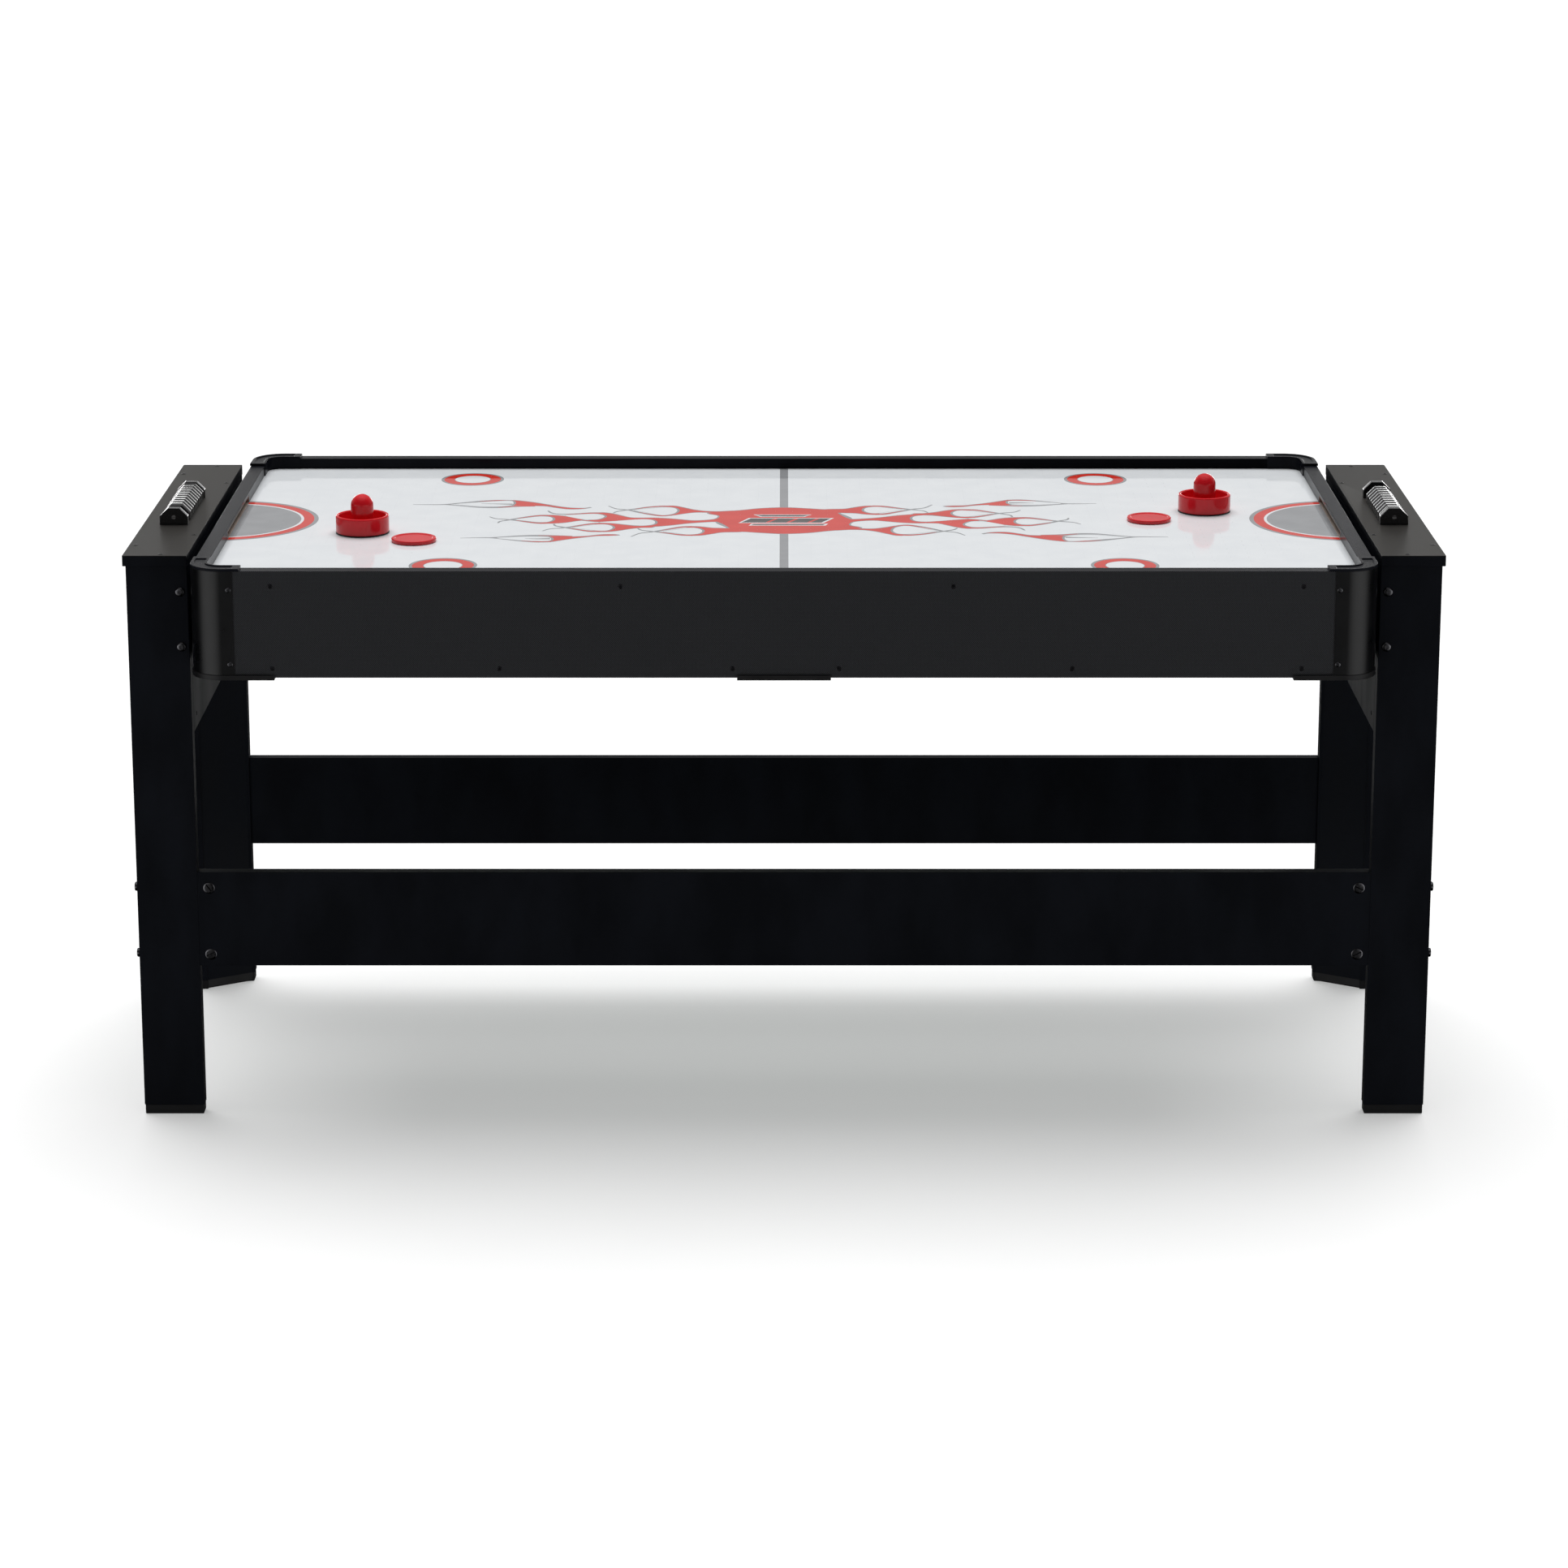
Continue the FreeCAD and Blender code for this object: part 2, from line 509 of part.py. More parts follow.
def end_cushion():
    reach = CORNER_POCKET[1] - JAW
    low, x0, x1 = CAB_LOW - 10, IN_X - MITRE - 1, IN_X + 1
    bar = push([V(IN_X - d, -reach, z) for d, z in cushion_profile()], V(0, 2 * reach, 0))
    for sy in (1, -1):
        off = prism([(x1, reach + 1), (x0, reach + 1), (x0, reach - MITRE), (x1, reach)], MITRE, low)
        bar = bar.cut(flip(off, 1, sy))
    return bar


def apron_screw_places():
    """X positions on a long apron, upper row and lower row."""
    upper = [(x, CAB_HIGH - 21.0) for x in (-698.0, -222.0, 230.0, 706.0)]
    lower = [(x, CAB_LOW + 13.0) for x in (-698.0, -388.0, -70.0, 75.0, 393.0, 706.0)]
    return upper + lower


def screw_y(x, z, y, grow=0.0):
    head = rod(3.4 + grow, (x, y + 0.5, z), (x, y - 1.6, z))
    shank = rod(1.7 + grow, (x, y - 1.6, z), (x, y - 13.0, z))
    if grow:
        return head.fuse(shank)
    cross = box(x - 2.1, x + 2.1, y - 0.5, y + 1, z - 0.4, z + 0.4)
    return head.fuse(shank).cut(cross).cut(cross.rotated(V(x, y, z), V(0, 1, 0), 90))


def screw_x(y, z, x, grow=0.0):
    turned = screw_y(-y, z, x, grow)
    return turned.rotated(V(0, 0, 0), V(0, 0, 1), -90)


def cabinet_screws(grow=0.0):
    """Every screw in the cabinet's outer faces: apron faces, casting flanges and pivot flanges."""
    screws = []
    apron_y = HALF_Y - FLANGE
    for sy in (1, -1):
        for x, z in apron_screw_places():
            screws.append(flip(screw_y(x, z, apron_y, grow), 1, sy))
        for sx in (1, -1):
            for z in (CAB_HIGH - 26.0, CAB_LOW + 19.0):
                screws.append(flip(screw_y(HALF_X - 56.0, z, HALF_Y, grow), sx, sy))
                screws.append(flip(screw_x(HALF_Y - 62.0, z, HALF_X, grow), sx, sy))
    for sx in (1, -1):
        for i in range(4):
            angle = math.radians(45 + 90 * i)
            y, z = 26.0 * math.cos(angle), PIVOT_Z + 26.0 * math.sin(angle)
            screws.append(flip(screw_x(y, z, HALF_X - FLANGE + 4.0, grow), sx, 1))
    return screws


def goal_liner():
    """Shallow moulded tray behind the goal slot, open towards the playfield."""
    outer = box(FIELD_X + 0.1, IN_X + GOAL_DEEP, -GOAL_HALF, GOAL_HALF, FIELD_Z, FIELD_Z + GOAL_H)
    half = GOAL_HALF - LINER_WALL
    inner = box(FIELD_X - 1, IN_X + GOAL_DEEP - LINER_WALL, -half, half,
                FIELD_Z + LINER_T, FIELD_Z + GOAL_H - LINER_WALL)
    return outer.cut(inner)


def apron_parts(lock_hole):
    screws = Part.makeCompound(cabinet_screws(HOLE))
    long_x, short_y = HALF_X - CORNER_R, HALF_Y - CORNER_R
    long_board = box(-long_x, long_x, IN_Y, IN_Y + BOARD, CAB_LOW, CAB_HIGH)
    save("front_apron", flip(long_board, 1, -1).cut(screws))
    save("rear_apron", long_board.cut(screws).cut(rear_openings()))
    goal = box(IN_X - 1, IN_X + GOAL_DEEP, -GOAL_HALF, GOAL_HALF, FIELD_Z, FIELD_Z + GOAL_H)
    end = box(IN_X, IN_X + BOARD, -short_y, short_y, CAB_LOW, CAB_HIGH).cut(goal)
    end = end.cut(lock_hole).cut(flip(lock_hole, 1, -1))
    for side, sx in SIDES.items():
        save(side + "_apron", flip(end, sx, 1).cut(screws))


def rail_parts():
    """The four bounce rails round the playfield, and the trays in the goal slots."""
    band = rounded_slab(IN_X, IN_Y, IN_R, FIELD_Z, CAB_HIGH)
    band = band.cut(rounded_slab(FIELD_X, FIELD_Y, FIELD_R, FIELD_Z - 1, CAB_HIGH + 1))
    slot = box(FIELD_X - 1, IN_X + 1, -GOAL_HALF, GOAL_HALF, FIELD_Z - 1, FIELD_Z + GOAL_H)
    joint_x, low, high = IN_X - 45, FIELD_Z - 1, CAB_HIGH + 1
    end_zone = box(joint_x, IN_X + 1, -IN_Y - 1, IN_Y + 1, low, high)
    long_zone = box(-joint_x, joint_x, 0, IN_Y + 1, low, high)
    ends = [band.common(flip(end_zone, sx, 1)).cut(flip(slot, sx, 1)) for sx in (1, -1)]
    longs = [band.common(flip(long_zone, 1, sy)) for sy in (1, -1)]
    save("bounce_rails", *ends, *longs)
    liner = goal_liner()
    save("goal_liners", liner, flip(liner, -1, 1))


def rear_block(x, half_x, half_z, y0, y1):
    """A block in the rear apron, centred on x and the pivot's height; y counts from the outer face."""
    face = IN_Y + BOARD
    return box(x - half_x, x + half_x, face + y0, face + y1, PIVOT_Z - half_z, PIVOT_Z + half_z)


def rear_openings():
    """Cut-outs in the rear apron: vent slots, the switch and the power inlet."""
    through = (-BOARD - 1, 1)
    return Part.makeCompound([rear_block(VENT_X, 40, 17, *through), rear_block(SWITCH_X, 14, 11, *through),
                              rear_block(INLET_X, 14, 10, *through)])


def vent_grille():
    grille = rear_block(VENT_X, 44, 21, 0, 1.2).fuse(rear_block(VENT_X, 39.8, 16.8, -6, 0))
    slats, pitch = 6, 5.4
    for i in range(slats):
        slot = rear_block(VENT_X, 36, 1.3, -7, 2)
        grille = grille.cut(slot.translated(V(0, 0, pitch * (i - (slats - 1) / 2))))
    return grille


def switch_parts():
    pin_y = IN_Y + BOARD - 5
    hub = IN_Y + BOARD + 13.2            # axis of the rocker's hollow face

    def across(radius, half_x, y):
        return rod(radius, (SWITCH_X - half_x, y, PIVOT_Z), (SWITCH_X + half_x, y, PIVOT_Z))

    bezel = rear_block(SWITCH_X, 17, 14, 0, 1.2).fuse(rear_block(SWITCH_X, 13.8, 10.8, -16, 0))
    bezel = bezel.cut(rear_block(SWITCH_X, 11, 8.6, -14.5, 2)).fuse(across(1.5, 12, pin_y))
    save("switch_bezel", bezel)
    rocker = across(8.0, 10.6, pin_y).common(rear_block(SWITCH_X, 12, 7.6, -11, 2.2))
    rocker = rocker.cut(across(12.0, 12, hub)).cut(across(1.5 + RUN, 13, pin_y))
    save("power_switch", rocker.rotated(V(SWITCH_X, pin_y, PIVOT_Z), V(1, 0, 0), ROCKER_TILT))


def power_inlet():
    inlet = rear_block(INLET_X, 17, 13, 0, 1.2).fuse(rear_block(INLET_X, 13.8, 9.8, -18, 0))
    inlet = inlet.cut(rear_block(INLET_X, 11.5, 7.5, -15, 2))
    for i in (-1, 0, 1):
        inlet = inlet.fuse(rear_block(INLET_X + 7 * i, 1, 2, -16, -4))
    return inlet


def board_parts(zones):
    save("playfield", rounded_slab(IN_X, IN_Y, IN_R, FIELD_Z - FIELD_T, FIELD_Z))
    ring = rounded_slab(IN_X, IN_Y, IN_R, PLENUM_LOW + PLENUM_T, FIELD_Z - FIELD_T)
    half, wall = DIVIDER_T / 2, DIVIDER_T
    for x0, x1 in ((-IN_X + wall, -DIVIDER_X - half), (-DIVIDER_X + half, DIVIDER_X - half),
                   (DIVIDER_X + half, IN_X - wall)):
        ring = ring.cut(box(x0, x1, -IN_Y + wall, IN_Y - wall, PLENUM_LOW, FIELD_Z))
    for x in (-DIVIDER_X, DIVIDER_X):
        for y in (-200.0, 0.0, 200.0):
            ring = ring.cut(box(x - half - 1, x + half + 1, y - 60, y + 60, PLENUM_LOW, PLENUM_LOW + 12))
    save("plenum_frame", ring)
    floor = rounded_slab(IN_X, IN_Y, IN_R, PLENUM_LOW, PLENUM_LOW + PLENUM_T)
    inlet = rod(FAN_R - 8, (FAN_X, 0, PLENUM_LOW - 1), (FAN_X, 0, PLENUM_LOW + PLENUM_T + 1))
    save("plenum_floor", floor.cut(inlet))
    save("pool_bed", rounded_slab(IN_X, IN_Y, IN_R, BED_Z, BED_Z + BED_T).cut(zones))
    save("pool_cloth", rounded_slab(IN_X, IN_Y, IN_R, BED_Z - CLOTH_T, BED_Z).cut(zones))


def fan_disc(radius, z0, z1):
    return rod(radius, (FAN_X, 0, z0), (FAN_X, 0, z1))


def blower_parts():
    low, high = BED_Z + BED_T + 5, PLENUM_LOW
    rim, wall, shaft_r = FAN_R + 16, 2.5, 3.0
    centre, up = V(FAN_X, 0, 0), V(0, 0, 1)
    housing = fan_disc(rim, low, high).cut(fan_disc(rim - wall, low + wall, high))
    housing = housing.cut(fan_disc(30.0, low - 1, low + 4))
    flange = fan_disc(rim + 12, high - 3, high).cut(fan_disc(rim - 1, high - 4, high + 1))
    save("blower_housing", housing.fuse(flange))

    motor = fan_disc(24.0, high - 18, high - 1)
    for i in range(3):
        arm = box(FAN_X + 10, FAN_X + rim - 3.0, -4, 4, high - 3, high)
        motor = motor.fuse(arm.rotated(centre, up, 120 * i))
    save("fan_motor", motor.fuse(fan_disc(shaft_r, low + 8, high - 17)))

    rotor = fan_disc(14.0, low + 10, high - 20).fuse(fan_disc(FAN_R, high - 23, high - 20.5))
    for i in range(BLADES):
        blade = box(FAN_X + 34, FAN_X + FAN_R - 0.5, -1, 1, low + 8, high - 21)
        blade = blade.rotated(V(FAN_X + 42, 0, 0), up, 35)
        rotor = rotor.fuse(blade.rotated(centre, up, 360.0 / BLADES * i))
    save("fan_rotor", rotor.cut(fan_disc(shaft_r + RUN, low, high)))


# ---- Loose pieces

def pusher(x, y):
    """Shallow ring-walled dish with a domed knob, turned about its own axis."""
    r, foot = PUSHER_R, 24.5
    knob, knob_top = 16.5, 16.1
    dome_z = PUSHER_H - SOLE_T - SOLE_GAP - knob_top
    s = math.sqrt(0.5)
    outside = [V(0, 0, 0), V(r - 0.8, 0, 0), V(r, 0, 1.0), V(r, 0, foot - 3), V(r - 1.4, 0, foot - 1.2)]
    inside = [V(r - 4.6, 0, foot - 1.6), V(r - 6.5, 0, 7.0), V(knob + 3.5, 0, 6.0), V(knob, 0, 10.0),
              V(knob_top, 0, dome_z)]
    top = V(0, 0, dome_z + knob_top)
    path = [Part.makeLine(a, b) for a, b in zip(outside, outside[1:])]
    path.append(Part.Arc(outside[-1], V(r - 3.0, 0, foot - 0.4), inside[0]).toShape())
    path += [Part.makeLine(a, b) for a, b in zip(inside, inside[1:])]
    path.append(Part.Arc(inside[-1], V(knob_top * s, 0, dome_z + knob_top * s), top).toShape())
    path.append(Part.makeLine(top, outside[0]))
    turned = Part.Face(Part.Wire(path)).revolve(V(0, 0, 0), V(0, 0, 1), 360)
    turned.translate(V(x, y, FIELD_Z + SOLE_GAP + SOLE_T))
    return turned


def puck(x, y):
    """Flat disc with a raised rim on both faces."""
    z = FIELD_Z + SOLE_GAP
    disc = rod(PUCK_R, (x, y, z), (x, y, z + PUCK_T))
    disc = disc.makeChamfer(1.0, [e for e in disc.Edges if e.BoundBox.ZLength < 1e-6])
    for z0, z1 in ((z - 1, z + 0.9), (z + PUCK_T - 0.9, z + PUCK_T + 1)):
        disc = disc.cut(rod(PUCK_R - 5.0, (x, y, z0), (x, y, z1)))
    return disc


def loose_parts():
    for side, (x, y) in PUSHERS.items():
        save(side + "_pusher", pusher(x, y))
        sole = rod(PUSHER_R + 0.2, (x, y, FIELD_Z + SOLE_GAP), (x, y, FIELD_Z + SOLE_GAP + SOLE_T))
        save(side + "_pusher_felt", sole)
    for side, (x, y) in PUCKS.items():
        save(side + "_puck", puck(x, y))


def cabinet_parts():
    zones = all_pocket_zones(CUP_GAP)
    apron_parts(lock_parts())
    rail_parts()
    screws = Part.makeCompound(cabinet_screws(HOLE))
    casting = corner_casting()
    for name, sx, sy in quarters():
        save(name + "_corner", flip(casting, sx, sy).cut(screws))
    cap = corner_cap()
    save("corner_caps", *[flip(cap, sx, sy) for _, sx, sy in quarters()])
    save("cabinet_screws", *cabinet_screws())
    pocket = corner_pocket()
    save("corner_pockets", *[flip(pocket, sx, sy) for _, sx, sy in quarters()])
    pocket = side_pocket()
    save("side_pockets", pocket, flip(pocket, 1, -1))
    bar = long_cushion().cut(zones)
    save("long_cushions", *[flip(bar, sx, sy) for _, sx, sy in quarters()])
    bar = end_cushion().cut(zones)
    save("end_cushions", bar, flip(bar, -1, 1))
    board_parts(zones)
    blower_parts()
    save("vent_grille", vent_grille())
    switch_parts()
    save("power_inlet", power_inlet())


MADE = {}
os.makedirs("parts", exist_ok=True)
frame_parts()
scorer_parts()
pivot_parts()
cabinet_parts()
loose_parts()
print(len(MADE), "nodes")
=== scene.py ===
import json
import math

import bmesh
import bpy
import numpy as np
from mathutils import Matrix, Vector, geometry


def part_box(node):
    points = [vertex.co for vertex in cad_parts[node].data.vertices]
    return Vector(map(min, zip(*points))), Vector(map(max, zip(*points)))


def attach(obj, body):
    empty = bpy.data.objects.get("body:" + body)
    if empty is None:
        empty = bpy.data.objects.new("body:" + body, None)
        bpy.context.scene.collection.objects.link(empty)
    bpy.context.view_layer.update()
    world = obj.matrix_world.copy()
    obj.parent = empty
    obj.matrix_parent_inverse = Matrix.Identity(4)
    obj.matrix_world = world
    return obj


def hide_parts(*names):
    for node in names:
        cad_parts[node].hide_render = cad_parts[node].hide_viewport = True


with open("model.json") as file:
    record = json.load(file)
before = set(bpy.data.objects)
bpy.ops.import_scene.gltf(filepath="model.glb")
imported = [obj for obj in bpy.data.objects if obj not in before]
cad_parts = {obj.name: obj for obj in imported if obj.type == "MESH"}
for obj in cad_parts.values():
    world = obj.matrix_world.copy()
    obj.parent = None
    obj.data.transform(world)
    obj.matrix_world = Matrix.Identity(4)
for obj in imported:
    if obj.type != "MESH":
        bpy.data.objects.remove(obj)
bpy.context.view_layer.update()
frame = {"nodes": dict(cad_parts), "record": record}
nodes = frame["nodes"]
mm = 0.001
bodyOf = {node: body for body, members in frame["record"]["behaviour"]["bodies"].items() for node in members}
slotOf = {node: nodes[node].data.materials[0].name for node in nodes}
print("frame loaded:", len(nodes), "nodes")


# small helpers for materials

def addNode(tree, kind, sockets=None, **options):
    node = tree.nodes.new(kind)
    for option, value in options.items():
        setattr(node, option, value)
    for socket, value in (sockets or {}).items():
        if isinstance(value, bpy.types.NodeSocket):
            tree.links.new(value, node.inputs[socket])
        else:
            node.inputs[socket].default_value = value
    return node


def startFinish(name, sockets):
    material = bpy.data.materials.new(name)
    material.use_nodes = True
    tree = material.node_tree
    shader = tree.nodes["Principled BSDF"]
    for socket, value in sockets.items():
        shader.inputs[socket].default_value = value
    place = addNode(tree, "ShaderNodeTexCoord").outputs["Object"]
    return material, tree, shader, place


def twoTones(tree, factor, dark, light, low=0.35, high=0.65):
    ramp = addNode(tree, "ShaderNodeValToRGB", {"Fac": factor})
    ramp.color_ramp.elements[0].position = low
    ramp.color_ramp.elements[0].color = (*dark, 1)
    ramp.color_ramp.elements[1].position = high
    ramp.color_ramp.elements[1].color = (*light, 1)
    return ramp.outputs["Color"]


def roughRange(tree, factor, low, high):
    return addNode(tree, "ShaderNodeMapRange", {"Value": factor, "From Min": 0.3, "From Max": 0.7,
                                                "To Min": low, "To Max": high}).outputs["Result"]


def maths(tree, kind, first, second=0.0, third=0.0):
    return addNode(tree, "ShaderNodeMath", {0: first, 1: second, 2: third}, operation=kind).outputs[0]


def noise(tree, where, scale, detail):
    return addNode(tree, "ShaderNodeTexNoise", {"Vector": where, "Scale": scale, "Detail": detail}).outputs["Fac"]


def bumped(tree, height, strength, depth):
    sockets = {"Height": height, "Strength": strength, "Distance": depth * mm}
    return addNode(tree, "ShaderNodeBump", sockets).outputs["Normal"]


def makeFinish(name, dark, light, rough, cloud=(25, 25, 25), grit=700, bump=0.15, depth=0.05, **extra):
    # cloudy two-tone colour, patchy gloss and a fine surface grain
    sockets = {key.replace("_", " "): value for key, value in extra.items()}
    material, tree, shader, place = startFinish(name, sockets)
    stretched = addNode(tree, "ShaderNodeMapping", {"Vector": place, "Scale": cloud}).outputs["Vector"]
    clouds, grain = noise(tree, stretched, 1.0, 5.0), noise(tree, place, grit, 3.0)
    tree.links.new(twoTones(tree, clouds, dark, light), shader.inputs["Base Color"])
    tree.links.new(roughRange(tree, clouds, *rough), shader.inputs["Roughness"])
    tree.links.new(bumped(tree, grain, bump, depth), shader.inputs["Normal"])
    return material


def makeMeshVinyl():
    # printed foil with a fine diagonal wire pattern, the same on the long and the end aprons
    vinyl = {"pitch": 2.8 * mm, "ground": (0.0020, 0.0022, 0.0028), "wire": (0.042, 0.044, 0.050),
             "wireEdge": (0.5, 0.95), "rough": (0.38, 0.48), "patch": 9.0}
    material, tree, shader, place = startFinish("meshVinyl", {"Specular IOR Level": 0.25})
    axes = addNode(tree, "ShaderNodeSeparateXYZ", {"Vector": place}).outputs
    along = maths(tree, "ADD", axes["X"], axes["Y"])
    waves = []
    for sign in ("ADD", "SUBTRACT"):
        slant = maths(tree, sign, along, axes["Z"])
        waves.append(maths(tree, "SINE", maths(tree, "MULTIPLY", slant, 2 * math.pi / vinyl["pitch"])))
    wire = maths(tree, "MAXIMUM", *waves)
    low, high = vinyl["wireEdge"]
    mask = addNode(tree, "ShaderNodeMapRange", {"Value": wire, "From Min": low, "From Max": high},
                   interpolation_type="SMOOTHSTEP").outputs["Result"]
    colour = twoTones(tree, mask, vinyl["ground"], vinyl["wire"], 0.0, 1.0)
    gloss = roughRange(tree, noise(tree, place, vinyl["patch"], 3.0), *vinyl["rough"])
    tree.links.new(colour, shader.inputs["Base Color"])
    tree.links.new(gloss, shader.inputs["Roughness"])
    tree.links.new(bumped(tree, mask, 0.35, 0.06), shader.inputs["Normal"])
    return material


def makeCloth():
    # napped wool-blend cloth: a tight weave under a soft nap
    cloth = {"thread": 0.9 * mm, "weave": 0.12, "nap": 900.0, "patch": 6.0, "tones": (0.15, 0.4),
             "dark": (0.006, 0.058, 0.028), "light": (0.010, 0.088, 0.044)}
    sheen = {"Sheen Weight": 0.35, "Sheen Roughness": 0.5, "Roughness": 0.9, "Specular IOR Level": 0.15}
    material, tree, shader, place = startFinish("poolCloth", sheen)
    axes = addNode(tree, "ShaderNodeSeparateXYZ", {"Vector": place}).outputs
    turns = [maths(tree, "MULTIPLY", axes[axis], 2 * math.pi / cloth["thread"]) for axis in ("X", "Y")]
    weave = maths(tree, "MULTIPLY", maths(tree, "SINE", turns[0]), maths(tree, "SINE", turns[1]))
    nap, patches = noise(tree, place, cloth["nap"], 4.0), noise(tree, place, cloth["patch"], 2.0)
    colour = twoTones(tree, maths(tree, "MULTIPLY", nap, patches), cloth["dark"], cloth["light"], *cloth["tones"])
    height = maths(tree, "MULTIPLY_ADD", weave, cloth["weave"], nap)
    tree.links.new(colour, shader.inputs["Base Color"])
    tree.links.new(bumped(tree, height, 0.4, 0.15), shader.inputs["Normal"])
    return material


finishes = {
    "blackFoil": makeFinish("blackFoil", (0.0020, 0.0030, 0.0058), (0.0040, 0.0054, 0.0094), (0.52, 0.64),
                            cloud=(18, 18, 7), grit=420, bump=0.25, Specular_IOR_Level=0.1),
    # cap tops: the boards' black foil, lightened to paint in the sheen that the bright backdrop lays on them
    "capFoil": makeFinish("capFoil", (0.030, 0.0285, 0.0265), (0.040, 0.038, 0.035), (0.40, 0.46),
                          cloud=(12, 5, 12), grit=420, bump=0.2, Specular_IOR_Level=0.08),
    "shoePlastic": makeFinish("shoePlastic", (0.004, 0.004, 0.005), (0.007, 0.007, 0.008), (0.5, 0.6),
                              grit=900, bump=0.4, Specular_IOR_Level=0.3),
    "blackZinc": makeFinish("blackZinc", (0.012, 0.012, 0.014), (0.03, 0.03, 0.034), (0.25, 0.4),
                            cloud=(300, 300, 300), grit=1500, bump=0.1, Metallic=0.8),
    "scorerGloss": makeFinish("scorerGloss", (0.006, 0.006, 0.007), (0.012, 0.012, 0.013), (0.10, 0.16),
                              grit=300, bump=0.05, Specular_IOR_Level=0.8, Coat_Weight=0.3),
    "darkChrome": makeFinish("darkChrome", (0.11, 0.11, 0.12), (0.17, 0.17, 0.18), (0.12, 0.2),
                             cloud=(300, 300, 300), grit=1500, bump=0.05, Metallic=1.0),
    "brightSteel": makeFinish("brightSteel", (0.38, 0.38, 0.39), (0.55, 0.55, 0.56), (0.2, 0.34),
                              cloud=(20, 400, 400), grit=1200, bump=0.08, Metallic=1.0),
    "nylon": makeFinish("nylon", (0.05, 0.05, 0.05), (0.08, 0.08, 0.08), (0.45, 0.55), grit=900, bump=0.2),
    "brass": makeFinish("brass", (0.45, 0.31, 0.11), (0.62, 0.45, 0.18), (0.25, 0.38),
                        cloud=(20, 300, 300), grit=1200, bump=0.08, Metallic=1.0),
    "cornerPlastic": makeFinish("cornerPlastic", (0.0020, 0.0022, 0.0028), (0.0036, 0.0038, 0.0048),
                                (0.26, 0.32), grit=500, bump=0.06, Specular_IOR_Level=0.4),
    "trimPlastic": makeFinish("trimPlastic", (0.0055, 0.006, 0.0085), (0.0075, 0.008, 0.011), (0.22, 0.25),
                              grit=500, bump=0.06, Specular_IOR_Level=0.04),
    "linerPlastic": makeFinish("linerPlastic", (0.26, 0.21, 0.18), (0.34, 0.28, 0.24), (0.45, 0.55),
                               grit=700, bump=0.2, Specular_IOR_Level=0.3),
    "rawBoard": makeFinish("rawBoard", (0.30, 0.20, 0.11), (0.42, 0.30, 0.18), (0.7, 0.85),
                           cloud=(120, 120, 120), grit=1500, bump=0.5, depth=0.15, Specular_IOR_Level=0.2),
    "pocketPlastic": makeFinish("pocketPlastic", (0.005, 0.005, 0.006), (0.009, 0.009, 0.010), (0.38, 0.5),
                                grit=800, bump=0.35, Specular_IOR_Level=0.35),
    "fanPlastic": makeFinish("fanPlastic", (0.010, 0.010, 0.011), (0.018, 0.018, 0.019), (0.4, 0.5),
                             grit=800, bump=0.3, Specular_IOR_Level=0.35),
    "redGloss": makeFinish("redGloss", (0.61, 0.007, 0.014), (0.71, 0.011, 0.020), (0.12, 0.2),
                           grit=250, bump=0.04, Specular_IOR_Level=0.35, Coat_Weight=0.1),
    "blackFelt": makeFinish("blackFelt", (0.006, 0.006, 0.006), (0.016, 0.016, 0.016), (0.9, 1.0),
                            cloud=(700, 700, 700), grit=2500, bump=0.8, depth=0.3, Sheen_Weight=0.3,
                            Specular_IOR_Level=0.1),
    "meshVinyl": makeMeshVinyl(),
    "poolCloth": makeCloth(),
}
lacquer = {"Specular_IOR_Level": 0.5, "grit": 120, "bump": 0.012, "depth": 0.2}
printFinishes = [
    makeFinish("fieldWhite", (0.785, 0.812, 0.838), (0.815, 0.840, 0.862), (0.05, 0.09), **lacquer),
    makeFinish("fieldGrey", (0.285, 0.293, 0.305), (0.315, 0.323, 0.335), (0.05, 0.09), **lacquer),
    makeFinish("fieldRed", (0.63, 0.032, 0.020), (0.69, 0.042, 0.028), (0.05, 0.09), **lacquer),
    makeFinish("fieldDark", (0.05, 0.045, 0.045), (0.08, 0.07, 0.07), (0.05, 0.09), **lacquer),
]
# the cap board takes the black foil lightened with painted sheen
finishOfSlot = {"black_board": "blackFoil", "cap_board": "capFoil", "shoe_plastic": "shoePlastic",
                "black_steel": "blackZinc", "scorer_plastic": "scorerGloss", "bright_steel": "brightSteel",
                "nylon": "nylon", "brass_bush": "brass", "mesh_board": "meshVinyl",
                "corner_plastic": "cornerPlastic", "trim_plastic": "trimPlastic", "raw_board": "rawBoard",
                "pool_cloth": "poolCloth", "cushion_rubber": "poolCloth", "pocket_plastic": "pocketPlastic",
                "fan_plastic": "fanPlastic", "red_plastic": "redGloss", "black_felt": "blackFelt",
                "field_board": None}
for node, part in nodes.items():
    if finishOfSlot[slotOf[node]]:
        part.data.materials[0] = finishes[finishOfSlot[slotOf[node]]]
print("finishes ready:", len(finishes) + len(printFinishes))


# small helpers for shapes

def place(name, mesh, node, materials=None, crease=30, flat=True):
    # put a finished mesh on the body of the CAD node that it stands for
    piece = bpy.data.objects.new(name, mesh)
    bpy.context.scene.collection.objects.link(piece)
    mesh.name = name
    if materials is not None:
        if len(mesh.materials):
            mesh.materials.clear()
        for material in materials:
            mesh.materials.append(material)
    mesh.polygons.foreach_set("use_smooth", np.ones(len(mesh.polygons), bool))
    mesh.set_sharp_from_angle(angle=math.radians(crease))
    if flat:
        piece.modifiers.new("evenShading", "WEIGHTED_NORMAL").keep_sharp = True
    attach(piece, bodyOf[node])
    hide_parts(node)
    return piece


def mergedCopy(node):
    shape = bmesh.new()
    shape.from_mesh(nodes[node].data)
    bmesh.ops.remove_doubles(shape, verts=shape.verts, dist=0.002 * mm)
    return shape


